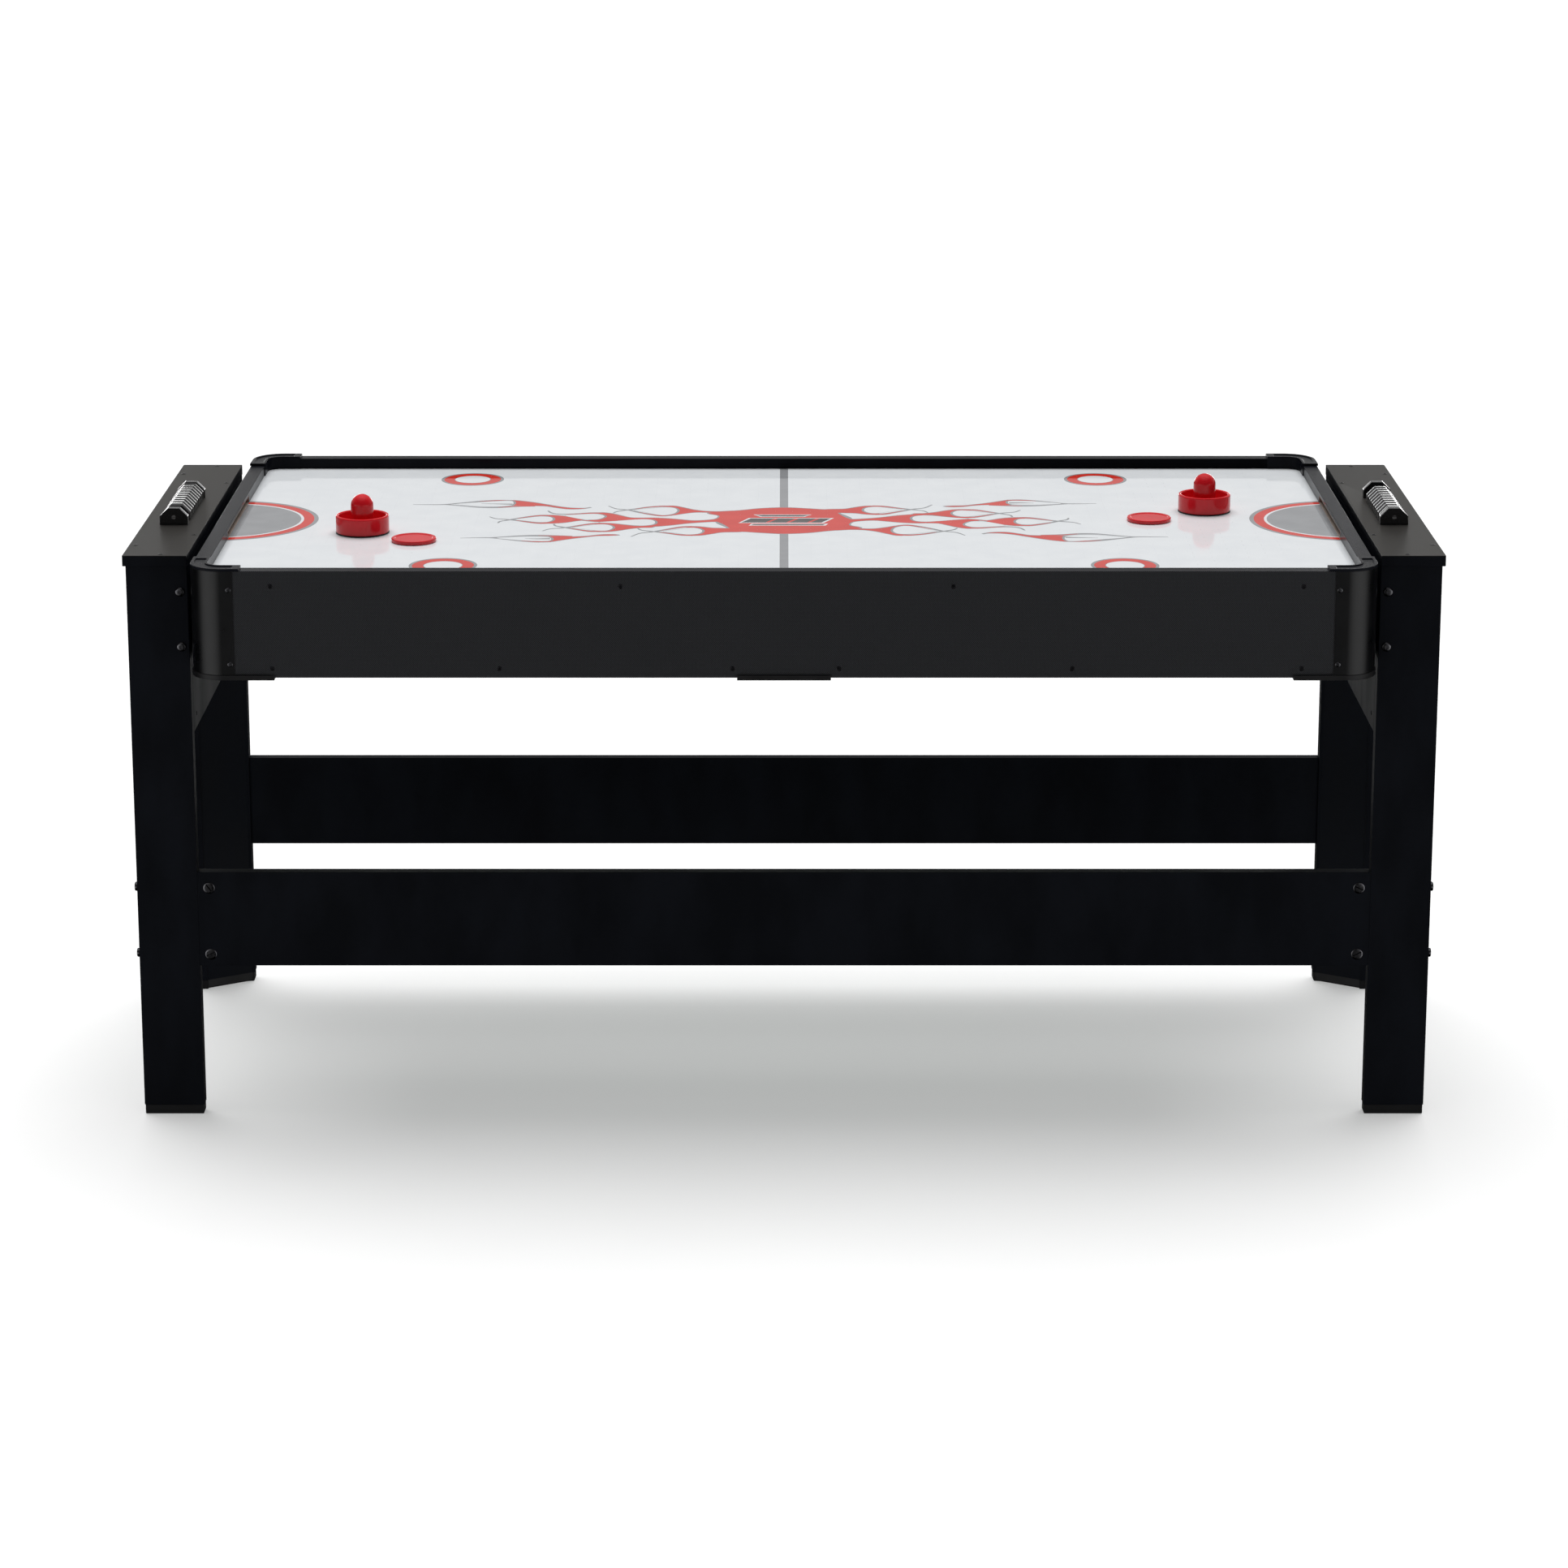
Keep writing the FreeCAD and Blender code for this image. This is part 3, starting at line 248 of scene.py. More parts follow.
def roundEdges(shape, width, segments, shortest, sharpest=35, wanted=None):
    bmesh.ops.dissolve_limit(shape, angle_limit=math.radians(0.4), verts=shape.verts, edges=shape.edges)
    edges = [e for e in shape.edges if len(e.link_faces) == 2 and e.calc_length() > shortest * mm
             and e.calc_face_angle(0) > math.radians(sharpest) and (wanted is None or wanted(e))]
    bmesh.ops.bevel(shape, geom=edges, offset=width * mm, offset_type="OFFSET", segments=segments,
                    profile=0.6, affect="EDGES", clamp_overlap=False)


def toMesh(shape, name):
    mesh = bpy.data.meshes.new(name)
    shape.to_mesh(mesh)
    shape.free()
    return mesh


def lathe(profile, centre, steps=96):
    # turn (radius, height) points, from the axis round to the axis, about an upright line
    verts, rings, faces = [], [], []
    for radius, height in profile:
        if radius < 1e-6:
            rings.append([len(verts)])
            verts.append((centre[0], centre[1], centre[2] + height * mm))
            continue
        rings.append(list(range(len(verts), len(verts) + steps)))
        for i in range(steps):
            angle = 2 * math.pi * i / steps
            x, y = radius * mm * math.cos(angle), radius * mm * math.sin(angle)
            verts.append((centre[0] + x, centre[1] + y, centre[2] + height * mm))
    for lower, upper in zip(rings, rings[1:]):
        for i in range(steps):
            j = (i + 1) % steps
            corners = [lower[i % len(lower)], lower[j % len(lower)],
                       upper[j % len(upper)], upper[i % len(upper)]]
            faces.append(list(dict.fromkeys(corners)))
    mesh = bpy.data.meshes.new("turned")
    mesh.from_pydata(verts, [], faces)
    return mesh


def islands(node):
    # lowest and highest corner of each separate solid in a CAD node
    shape = mergedCopy(node)
    seen, found = set(), []
    for vert in shape.verts:
        if vert in seen:
            continue
        seen.add(vert)
        todo, group = [vert], []
        while todo:
            here = todo.pop()
            group.append(here.co.copy())
            for edge in here.link_edges:
                other = edge.other_vert(here)
                if other not in seen:
                    seen.add(other)
                    todo.append(other)
        points = np.array(group)
        found.append((Vector(points.min(0)), Vector(points.max(0))))
    shape.free()
    return found


def startTree(name, inputs):
    tree = bpy.data.node_groups.new(name, "GeometryNodeTree")
    tree.interface.new_socket("Geometry", in_out="OUTPUT", socket_type="NodeSocketGeometry")
    for label, kind in inputs:
        tree.interface.new_socket(label, in_out="INPUT", socket_type="NodeSocket" + kind)
    return tree, tree.nodes.new("NodeGroupInput").outputs


def endTree(tree, instances, material):
    real = addNode(tree, "GeometryNodeRealizeInstances", {"Geometry": instances}).outputs[0]
    done = addNode(tree, "GeometryNodeSetMaterial", {"Geometry": real, "Material": material}).outputs[0]
    addNode(tree, "NodeGroupOutput", {"Geometry": done})


def growTree(tree, host, values):
    # run a tree on a host mesh and return a plain mesh
    piece = bpy.data.objects.new(tree.name, host)
    bpy.context.scene.collection.objects.link(piece)
    modifier = piece.modifiers.new(tree.name, "NODES")
    modifier.node_group = tree
    for item in tree.interface.items_tree:
        if item.in_out == "INPUT" and item.name in values:
            modifier[item.identifier] = values[item.name]
    graph = bpy.context.evaluated_depsgraph_get()
    mesh = bpy.data.meshes.new_from_object(piece.evaluated_get(graph), depsgraph=graph)
    bpy.data.objects.remove(piece)
    return mesh


# boards, castings and trim: copies of the CAD shapes with real edge radii

edgeRadii = {  # node: (radius in mm, segments, shortest edge rounded in mm)
    "front_left_leg": (1.2, 3, 8), "front_right_leg": (1.2, 3, 8),
    "rear_left_leg": (1.2, 3, 8), "rear_right_leg": (1.2, 3, 8),
    "foot_shoes": (0.8, 2, 8), "left_inner_panel": (0.6, 2, 12), "right_inner_panel": (0.6, 2, 12),
    "outer_panels": (0.6, 2, 12), "front_stretcher": (0.8, 2, 12), "rear_stretcher": (0.8, 2, 12),
    "left_end_cap": (0.6, 2, 12), "right_end_cap": (0.6, 2, 12),
    "front_apron": (0.6, 2, 12), "rear_apron": (0.6, 2, 12), "left_apron": (0.6, 2, 9),
    "right_apron": (0.6, 2, 9), "front_left_corner": (0.5, 2, 0.4), "front_right_corner": (0.5, 2, 0.4),
    "rear_left_corner": (0.5, 2, 0.4), "rear_right_corner": (0.5, 2, 0.4),
    "corner_caps": (1.0, 4, 0.4), "bounce_rails": (0.8, 3, 0.4), "goal_liners": (0.4, 2, 3),
    "scorer_mounts": (0.8, 2, 3), "corner_pockets": (0.5, 2, 1.2), "side_pockets": (0.5, 2, 1.2),
    "vent_grille": (0.3, 2, 2), "switch_bezel": (0.3, 2, 5), "power_inlet": (0.3, 2, 3),
    "plenum_frame": (0.4, 1, 5), "pool_bed": (0.4, 1, 20),
}
boardFinishes = {  # side finish and top finish, where the two differ
    # end caps: the lighter top finish is their black foil with painted sheen
    "left_end_cap": ("blackFoil", "capFoil"), "right_end_cap": ("blackFoil", "capFoil"),
    "front_apron": ("meshVinyl", "trimPlastic"), "rear_apron": ("meshVinyl", "trimPlastic"),
    "left_apron": ("meshVinyl", "trimPlastic"), "right_apron": ("meshVinyl", "trimPlastic"),
    "goal_liners": ("linerPlastic", "linerPlastic"),
}
seamX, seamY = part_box("playfield")[1].x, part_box("playfield")[1].y   # where the aprons meet the rails
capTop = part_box("corner_caps")[1].z
touching = 0.05 * mm    # two places this close count as one


def offSeam(edge):
    return not any(all(abs(abs(v.co[axis]) - at) < touching for v in edge.verts)
                   for axis, at in ((0, seamX), (1, seamY)))


def onCapTop(edge):
    return all(v.co.z > capTop - touching for v in edge.verts)


edgeRules = {"corner_caps": onCapTop, "bounce_rails": offSeam, "front_apron": offSeam,
             "rear_apron": offSeam, "left_apron": offSeam, "right_apron": offSeam}
for node, (radius, segments, shortest) in edgeRadii.items():
    shape = mergedCopy(node)
    roundEdges(shape, radius, segments, shortest, wanted=edgeRules.get(node))
    plain = finishOfSlot[slotOf[node]]
    sideFinish, topFinish = boardFinishes.get(node, (plain, plain))
    shape.normal_update()
    # top faces take the top finish; on the end caps that is painted sheen
    for face in shape.faces:
        face.material_index = 1 if sideFinish != topFinish and face.normal.z > 0.5 else 0
    used = [finishes[name] for name in dict.fromkeys((sideFinish, topFinish))]
    place(node + "_rounded", toMesh(shape, node), node, used)
print("edges rounded:", len(edgeRadii))


# hockey playfield: one perforated board whose print follows the surface

field = {
    "thickness": 6.0, "cornerR": 28.5, "cornerSteps": 14,
    "holeR": 0.5, "holeSides": 8, "pitch": 25.4, "columns": 58, "rows": 28,
    "ring": {"at": (471.0, 296.0), "grey": 47.3, "red": 42.8, "white": 26.3},
    "crease": {"centreX": 812.0, "grey": 138.0, "red": 131.7, "white": 116.9, "fill": 112.9},
    "line": 6.15, "lineReach": 390, "outline": 2.6,
}
white, grey, red, dark = range(4)


def smoothLine(points, closed=False, steps=7):
    # even curve through every given point
    p = np.array(points, float)
    count = len(p)
    spans = count if closed else count - 1
    out = []
    for i in range(spans):
        a = p[(i - 1) % count] if closed or i else 2 * p[0] - p[1]
        b, c = p[i], p[(i + 1) % count]
        d = p[(i + 2) % count] if closed or i < spans - 1 else 2 * p[-1] - p[-2]
        for t in np.linspace(0, 1, steps, endpoint=False):
            out.append(0.5 * (2 * b + (c - a) * t + (2 * a - 5 * b + 4 * c - d) * t ** 2
                              + (3 * b - 3 * c + d - a) * t ** 3))
    if not closed:
        out.append(p[-1])
    return np.array(out)


def grown(ring, amount):
    # the same outline pushed outwards
    back, front = np.roll(ring, 1, 0), np.roll(ring, -1, 0)
    way = front - back
    normal = np.stack([way[:, 1], -way[:, 0]], 1)
    normal /= np.maximum(np.linalg.norm(normal, axis=1, keepdims=True), 1e-9)
    area = np.sum(ring[:, 0] * front[:, 1] - front[:, 0] * ring[:, 1])
    return ring + normal * amount * (1 if area > 0 else -1)


def stroke(points, widths):
    # a brush line whose width runs through the given values
    line = smoothLine(points)
    way = np.gradient(line, axis=0)
    normal = np.stack([-way[:, 1], way[:, 0]], 1)
    normal /= np.maximum(np.linalg.norm(normal, axis=1, keepdims=True), 1e-9)
    half = np.interp(np.linspace(0, 1, len(line)), np.linspace(0, 1, len(widths)), widths)[:, None] / 2
    return np.vstack([line + normal * half, (line - normal * half)[::-1]])


def circle(x, y, radius, steps=72):
    turn = np.linspace(0, 2 * math.pi, steps, endpoint=False)
    return np.stack([x + radius * np.cos(turn), y + radius * np.sin(turn)], 1)


brush = {  # widths along the flames' strokes in mm, from root to tip
    "arm": (11, 10, 8.5, 7, 5.5, 4.2, 2.4), "core": (6.5, 5, 3.2, 1.2), "spur": (8.0, 5.0, 1.5),
    "wedge": (2.0, 7.0, 6.0, 2.0), "shade": 2.0, "shadeShift": 1.6,
}


def shaded(drop):
    # a white drop with a grey shade that is wider on one side
    ring = smoothLine(drop, closed=True)
    return [(3, grey, grown(ring, brush["shade"]) + np.array([brush["shadeShift"], 0])), (4, white, ring)]


def flame(body, drop, arms, coreShare=0.45):
    # a red body round a white drop; from it run two arms that thin out, cross and end in curled tips
    outline = smoothLine(body, closed=True)
    layers = [(2, red, outline), (1, grey, grown(outline, field["outline"]))] + shaded(drop)
    for arm in arms:
        layers.append((1, grey, stroke(arm, brush["arm"])))
        first = arm[:max(3, round(len(arm) * coreShare) + 1)]
        layers.append((2, red, stroke(first, brush["core"])))
    return layers


flames = [  # body, drop and the two arms of each flame, in mm from the middle of the field
    ([(-70, 66), (-96, 62), (-116, 65), (-133, 75), (-148, 90), (-160, 101), (-170, 101), (-163, 90),
      (-156, 70), (-158, 50), (-172, 35), (-160, 38), (-146, 48), (-128, 57), (-104, 54), (-70, 40)],
     [(-156, 70), (-162, 88), (-176, 92), (-196, 84), (-219, 73), (-204, 60), (-190, 45), (-175, 37),
      (-161, 48)],
     [[(-164, 97), (-180, 99), (-200, 92), (-218, 80), (-234, 70), (-244, 62), (-249, 51)],
      [(-164, 38), (-178, 33), (-194, 42), (-212, 57), (-228, 73), (-246, 82), (-258, 101)]]),
    ([(-200, 16), (-222, 19), (-236, 32), (-248, 45), (-262, 54), (-272, 52), (-266, 42), (-261, 25),
      (-267, 9), (-282, 0), (-268, -7), (-252, -7), (-232, 0), (-205, 4)],
     [(-261, 25), (-266, 40), (-278, 46), (-298, 42), (-318, 35), (-306, 20), (-290, 8), (-272, 7)],
     [[(-264, 51), (-282, 51), (-300, 46), (-318, 43), (-332, 46), (-340, 54), (-345, 68)],
      [(-256, -6), (-270, -6), (-286, -1), (-300, 6), (-312, 11), (-322, 14)]]),
    ([(-292, 4), (-302, 16), (-316, 28), (-334, 36), (-346, 35), (-340, 26), (-335, 8), (-340, -9),
      (-352, -17), (-336, -20), (-318, -15), (-302, -4)],
     [(-335, 8), (-340, 24), (-354, 28), (-370, 20), (-389, 7), (-374, -2), (-356, -11), (-341, -9)],
     [[(-338, 33), (-354, 34), (-370, 26), (-386, 14), (-400, 2), (-410, -6), (-413, -18)],
      [(-338, -17), (-354, -18), (-372, -9), (-388, 1), (-404, 8), (-418, 13), (-428, 26)]]),
    ([(-190, -37), (-212, -38), (-232, -29), (-250, -20), (-266, -18), (-272, -24), (-256, -31),
      (-246, -50), (-254, -68), (-268, -76), (-252, -76), (-236, -68), (-222, -57), (-205, -49),
      (-190, -47)],
     [(-246, -50), (-252, -32), (-266, -27), (-284, -37), (-304, -49), (-288, -56), (-270, -68),
      (-254, -68)],
     [[(-262, -21), (-276, -23), (-292, -33), (-306, -44), (-320, -52), (-336, -58), (-346, -72)],
      [(-262, -73), (-278, -73), (-294, -63), (-308, -53), (-320, -44), (-329, -36), (-332, -24)]]),
    ([(-60, -58), (-88, -53), (-104, -51), (-120, -43), (-134, -41), (-140, -46), (-124, -54), (-117, -72),
      (-122, -90), (-136, -100), (-120, -101), (-104, -91), (-88, -80), (-60, -76)],
     [(-117, -72), (-122, -57), (-134, -50), (-152, -61), (-173, -75), (-156, -84), (-138, -95),
      (-122, -89)],
     [[(-132, -43), (-146, -45), (-160, -55), (-176, -68), (-190, -79), (-206, -88), (-218, -110)],
      [(-130, -100), (-146, -98), (-162, -89), (-178, -80), (-192, -73), (-204, -66), (-210, -54)]]),
]
leaves = [  # free flames: red body with its tail, white middle, upper arm, lower arm and spur
    ([(-283, 92), (-292, 86), (-310, 87), (-328, 95), (-344, 107), (-366, 124), (-388, 137), (-402, 140),
      (-402, 116), (-398, 105), (-372, 103), (-350, 101), (-334, 90), (-316, 80), (-296, 82)],
     [(-402, 137), (-426, 136), (-452, 127), (-484, 115), (-462, 104), (-432, 97), (-402, 106)],
     [(-398, 138), (-424, 140), (-450, 134), (-476, 122), (-500, 112), (-522, 111), (-546, 112)],
     [(-366, 103), (-394, 99), (-420, 91), (-446, 92), (-470, 101), (-494, 110), (-512, 112)],
     [(-400, 114), (-420, 116), (-446, 118)]),
    ([(-236, -99), (-246, -95), (-262, -97), (-280, -106), (-300, -110), (-322, -108), (-333, -112),
      (-333, -142), (-318, -134), (-302, -123), (-284, -113), (-266, -104), (-248, -102)],
     [(-333, -116), (-352, -109), (-376, -110), (-408, -118), (-384, -130), (-358, -138), (-333, -137)],
     [(-330, -141), (-350, -143), (-372, -137), (-394, -127), (-414, -118), (-436, -117), (-460, -119)],
     [(-302, -110), (-326, -105), (-350, -102), (-374, -104), (-398, -111), (-416, -116), (-430, -118)],
     [(-332, -123), (-350, -124), (-368, -122)]),
]
emblem = {
    "edge": [(0, 90), (-34, 84), (-62, 71), (-92, 60), (-110, 50), (-96, 36), (-94, 24), (-100, 9),
             (-116, 1), (-132, -1), (-150, 6), (-170, 14), (-192, 18), (-212, 15), (-200, 8), (-188, -4),
             (-186, -16), (-192, -30), (-208, -42), (-190, -42), (-166, -34), (-140, -20), (-118, -12),
             (-97, -9), (-91, -26), (-80, -52), (-96, -62), (-84, -77), (-60, -76), (-30, -84)],
    "pool": [(-186, -13), (-191, 3), (-204, 8), (-222, 4), (-244, -4), (-268, -13), (-246, -19),
             (-222, -30), (-204, -35), (-190, -28)],
    "wedge": [(-99, -8), (-91, -26), (-79, -53)],
    "bars": [[(-62, -14), (54, -14), (68, 14), (-48, 14)], [(-32, 28), (28, 28), (38, 38), (-42, 38)],
             [(-48, -32), (56, -32), (60, -25), (-44, -25)]],
    "rim": (4.0 / 62, 3.0),     # white round the bars: share of their length, and mm across them
    "slashes": (-22, 8, 38),    # where the red strokes cross the middle bar
}


def fieldPrint():
    layers = []
    rings, crease = field["ring"], field["crease"]
    for sx in (1, -1):
        for sy in (1, -1):
            x, y = sx * rings["at"][0], sy * rings["at"][1]
            layers += [(1, grey, circle(x, y, rings["grey"])), (2, red, circle(x, y, rings["red"])),
                       (3, grey, circle(x, y, rings["white"] + 1.0)),
                       (4, white, circle(x, y, rings["white"]))]
        x = sx * crease["centreX"]
        layers += [(1, grey, circle(x, 0, crease["grey"], 120)), (2, red, circle(x, 0, crease["red"], 120)),
                   (3, white, circle(x, 0, crease["white"], 120)),
                   (4, grey, circle(x, 0, crease["fill"], 120))]
    half, reach = field["line"], field["lineReach"]
    line = [(-half, -reach), (half, -reach), (half, reach), (-half, reach)]
    layers.append((0.5, grey, np.array(line, float)))
    wing = shaded(emblem["pool"]) + [(3, grey, stroke(emblem["wedge"], brush["wedge"]))]
    for body, drop, arms in flames:
        wing = wing + flame(body, drop, arms)
    for body, gap, upper, lower, spur in leaves:
        wing = wing + flame(body, gap, (upper, lower), 0.2) + [(5, grey, stroke(spur, brush["spur"]))]
    for level, ink, shape in wing:
        layers += [(level, ink, shape), (level, ink, -shape)]
    edge = np.array(emblem["edge"], float)
    lens = smoothLine(np.vstack([edge, -edge]), closed=True)
    layers += [(1, grey, grown(lens, field["outline"])), (2, red, lens)]
    for corners in emblem["bars"]:
        bar = np.array(corners, float)
        longer, wider = emblem["rim"]
        wide = bar * np.array([1 + longer, 1]) + np.sign(bar - bar.mean(0)) * np.array([0, wider])
        layers += [(6, white, wide), (7, dark, bar)]
    for x in emblem["slashes"]:
        layers.append((8, red, np.array([(x - 5, -14), (x, -14), (x + 14, 14), (x + 9, 14)], float)))
    return layers


def insideRing(points, ring):
    x, y = points[:, 0], points[:, 1]
    hit = np.zeros(len(points), bool)
    for (x0, y0), (x1, y1) in zip(ring, np.roll(ring, -1, 0)):
        if y0 == y1:
            continue
        across = ((y0 > y) != (y1 > y)) & (x < (x1 - x0) * (y - y0) / (y1 - y0) + x0)
        hit ^= across
    return hit


def holeRings():
    # the air holes, one small ring at each point of an even grid
    tree, given = startTree("airHoles", [("Columns", "Int"), ("Rows", "Int"), ("Pitch", "Float"),
                                         ("Radius", "Float"), ("Sides", "Int"), ("Finish", "Material")])
    spans = []
    for label in ("Columns", "Rows"):
        spans.append(maths(tree, "MULTIPLY", maths(tree, "SUBTRACT", given[label], 1.0), given["Pitch"]))
    grid = addNode(tree, "GeometryNodeMeshGrid", {
        "Size X": spans[0], "Size Y": spans[1], "Vertices X": given["Columns"], "Vertices Y": given["Rows"]})
    ring = addNode(tree, "GeometryNodeMeshCircle", {"Vertices": given["Sides"], "Radius": given["Radius"]})
    spread = addNode(tree, "GeometryNodeInstanceOnPoints", {"Points": grid.outputs["Mesh"],
                                                            "Instance": ring.outputs["Mesh"]})
    endTree(tree, spread.outputs[0], given["Finish"])
    mesh = growTree(tree, bpy.data.meshes.new("airHoles"), {
        "Columns": field["columns"], "Rows": field["rows"], "Pitch": field["pitch"], "Radius": field["holeR"],
        "Sides": field["holeSides"], "Finish": printFinishes[white]})
    points = np.array([v.co[:2] for v in mesh.vertices], float)
    bpy.data.meshes.remove(mesh)
    return points


def roundedOutline(halfX, halfY, radius, steps):
    ring = []
    for i, (sx, sy) in enumerate(((1, 1), (-1, 1), (-1, -1), (1, -1))):
        for turn in np.linspace(0, math.pi / 2, steps + 1):
            angle = i * math.pi / 2 + turn
            ring.append((sx * (halfX - radius) + radius * math.cos(angle),
                         sy * (halfY - radius) + radius * math.sin(angle)))
    return np.array(ring)


def buildField():
    low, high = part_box("playfield")
    halfX, halfY, top = high.x / mm, high.y / mm, high.z
    holes = holeRings()
    outline = roundedOutline(halfX, halfY, field["cornerR"], field["cornerSteps"])
    layers = fieldPrint()
    sides = field["holeSides"]
    points, edges = [], []

    def addLoop(ring):
        first = len(points)
        points.extend(ring.tolist())
        edges.extend((first + i, first + (i + 1) % len(ring)) for i in range(len(ring)))

    for start in range(0, len(holes), sides):
        addLoop(holes[start:start + sides])
    addLoop(outline)
    for _, _, shape in layers:
        addLoop(np.clip(shape, (-halfX, -halfY), (halfX, halfY)))
    made = geometry.delaunay_2d_cdt([Vector(p) for p in points], edges, [], 0, 1e-4)
    flat = np.array([v[:] for v in made[0]])
    faces = [list(f) for f in made[2]]
    holeOf = np.full(len(flat), -1)
    for i, sources in enumerate(made[3]):
        rings = {source // sides for source in sources if source < len(holes)}
        if rings:
            holeOf[i] = min(rings)
    tri = np.array(faces)
    owner = holeOf[tri]
    same = (owner[:, 0] >= 0) & (owner[:, 0] == owner[:, 1]) & (owner[:, 0] == owner[:, 2])   # fills a hole
    middle = flat[tri].mean(1)
    keep = ~same & insideRing(middle, outline)
    tri, middle = tri[keep], middle[keep]
    ink, rank = np.zeros(len(tri), int), np.zeros(len(tri))
    for level, colour, shape in layers:
        lo, hi = shape.min(0), shape.max(0)
        near = np.where(((middle >= lo) & (middle <= hi)).all(1) & (rank <= level))[0]
        hit = near[insideRing(middle[near], shape)]
        ink[hit], rank[hit] = colour, level
    a, b, c = flat[tri[:, 0]], flat[tri[:, 1]], flat[tri[:, 2]]
    turned = (b[:, 0] - a[:, 0]) * (c[:, 1] - a[:, 1]) - (b[:, 1] - a[:, 1]) * (c[:, 0] - a[:, 0]) < 0
    tri[turned] = tri[turned][:, ::-1]
    count = len(flat)
    directed = {(int(f[i]), int(f[(i + 1) % 3])) for f in tri for i in range(3)}
    walls = [(i, i + count, j + count, j) for i, j in directed if (j, i) not in directed]
    upper = [(x * mm, y * mm, top) for x, y in flat]
    lower = [(x * mm, y * mm, top - field["thickness"] * mm) for x, y in flat]
    allFaces = tri.tolist() + (tri[:, ::-1] + count).tolist() + sorted(walls)
    mesh = bpy.data.meshes.new("playfield_board")
    mesh.from_pydata(upper + lower, [], allFaces)
    inks = np.concatenate([ink, np.zeros(len(allFaces) - len(tri), int)])
    for material in printFinishes:
        mesh.materials.append(material)
    mesh.polygons.foreach_set("material_index", inks.astype(np.int32))
    piece = place("playfield_board", mesh, "playfield", crease=30, flat=False)
    mesh.polygons.foreach_set("use_smooth", np.zeros(len(mesh.polygons), bool))
    shape = bmesh.new()
    shape.from_mesh(mesh)
    bmesh.ops.delete(shape, geom=[v for v in shape.verts if not v.link_faces], context="VERTS")
    shape.to_mesh(mesh)
    shape.free()
    return piece


fieldPiece = buildField()
print("playfield:", len(fieldPiece.data.polygons), "faces")


# screws, bolts and nuts

screws = {"crossHead": {"radius": 3.5, "rise": 0.55, "reach": 12.0, "shank": 1.7},
          "socketBolt": {"radius": 6.6, "rise": 2.0, "reach": 40.0, "shank": 3.0},
          "slotNut": {"radius": 8.15, "rise": 0.7, "reach": 17.0, "shank": 8.15}}


def recessOutline(kind, radius):
    if kind == "crossHead":
        a, b = radius * 0.62, radius * 0.13
        return [(a, -b), (a, b), (b, b), (b, a), (-b, a), (-b, b),
                (-a, b), (-a, -b), (-b, -b), (-b, -a), (b, -a), (b, -b)]
    if kind == "socketBolt":
        turns = [math.radians(60 * i) for i in range(6)]
        return [(radius * 0.42 * math.cos(turn), radius * 0.42 * math.sin(turn)) for turn in turns]
    return [(radius * 0.86, -radius * 0.11), (radius * 0.86, radius * 0.11), (-radius * 0.86, radius * 0.11),
            (-radius * 0.86, -radius * 0.11)]


def screwShape(kind):
    # head face at the top of a short shank, pointing along +Z, with its recess sunk in
    size = screws[kind]
    radius, rise = size["radius"], size["rise"]
    recess = recessOutline(kind, radius)
    sink = min(1.2, rise + 0.7)
    sides = 20
    rings = [(radius * 0.74, rise), (radius * 0.89, rise * 0.85), (radius * 0.975, rise * 0.5), (radius, 0),
             (radius, -1.5), (size["shank"], -1.55), (size["shank"], -size["reach"])]
    shape = bmesh.new()
    loops = []
    for r, z in rings:
        loop = []
        for i in range(sides):
            turn = 2 * math.pi * i / sides
            loop.append(shape.verts.new((r * mm * math.cos(turn), r * mm * math.sin(turn), z * mm)))
        loops.append(loop)
    for upper, lower in zip(loops, loops[1:]):
        for i in range(sides):
            j = (i + 1) % sides
            shape.faces.new((upper[i], lower[i], lower[j], upper[j]))
    shape.faces.new(list(reversed(loops[-1])))
    rim = [shape.verts.new((x * mm, y * mm, rise * mm)) for x, y in recess]
    pit = [shape.verts.new((x * mm, y * mm, (rise - sink) * mm)) for x, y in recess]
    count = len(rim)
    for i in range(count):
        j = (i + 1) % count
        shape.faces.new((rim[i], rim[j], pit[j], pit[i]))
    shape.faces.new(pit)
    edges = [shape.edges.get((loops[0][i], loops[0][(i + 1) % sides])) for i in range(sides)]
    edges += [shape.edges.get((rim[i], rim[(i + 1) % count])) for i in range(count)]
    bmesh.ops.triangle_fill(shape, use_beauty=True, use_dissolve=False, edges=edges)
    bmesh.ops.recalc_face_normals(shape, faces=shape.faces)
    return toMesh(shape, kind)


def headTree():
    tree, given = startTree("screwHeads", [("Places", "Geometry"), ("Head", "Object"), ("Size", "Float"),
                                           ("Seed", "Int"), ("Finish", "Material")])
    head = addNode(tree, "GeometryNodeObjectInfo", {"Object": given["Head"]}).outputs["Geometry"]
    facing = addNode(tree, "GeometryNodeInputNamedAttribute", {"Name": "facing"}, data_type="FLOAT_VECTOR")
    aim = addNode(tree, "FunctionNodeAlignRotationToVector", {"Vector": facing.outputs["Attribute"]},
                  axis="Z")
    chance = addNode(tree, "FunctionNodeRandomValue", {"Seed": given["Seed"]}, data_type="FLOAT")
    chance.inputs[3].default_value = math.pi
    spin = addNode(tree, "FunctionNodeAxisAngleToRotation", {"Axis": (0, 0, 1), "Angle": chance.outputs[1]})
    turn = addNode(tree, "FunctionNodeRotateRotation",
                   {"Rotation": aim.outputs[0], "Rotate By": spin.outputs[0]}, rotation_space="LOCAL")
    spread = addNode(tree, "GeometryNodeInstanceOnPoints", {
        "Points": given["Places"], "Instance": head, "Rotation": turn.outputs[0], "Scale": given["Size"]})
    endTree(tree, spread.outputs[0], given["Finish"])
    return tree


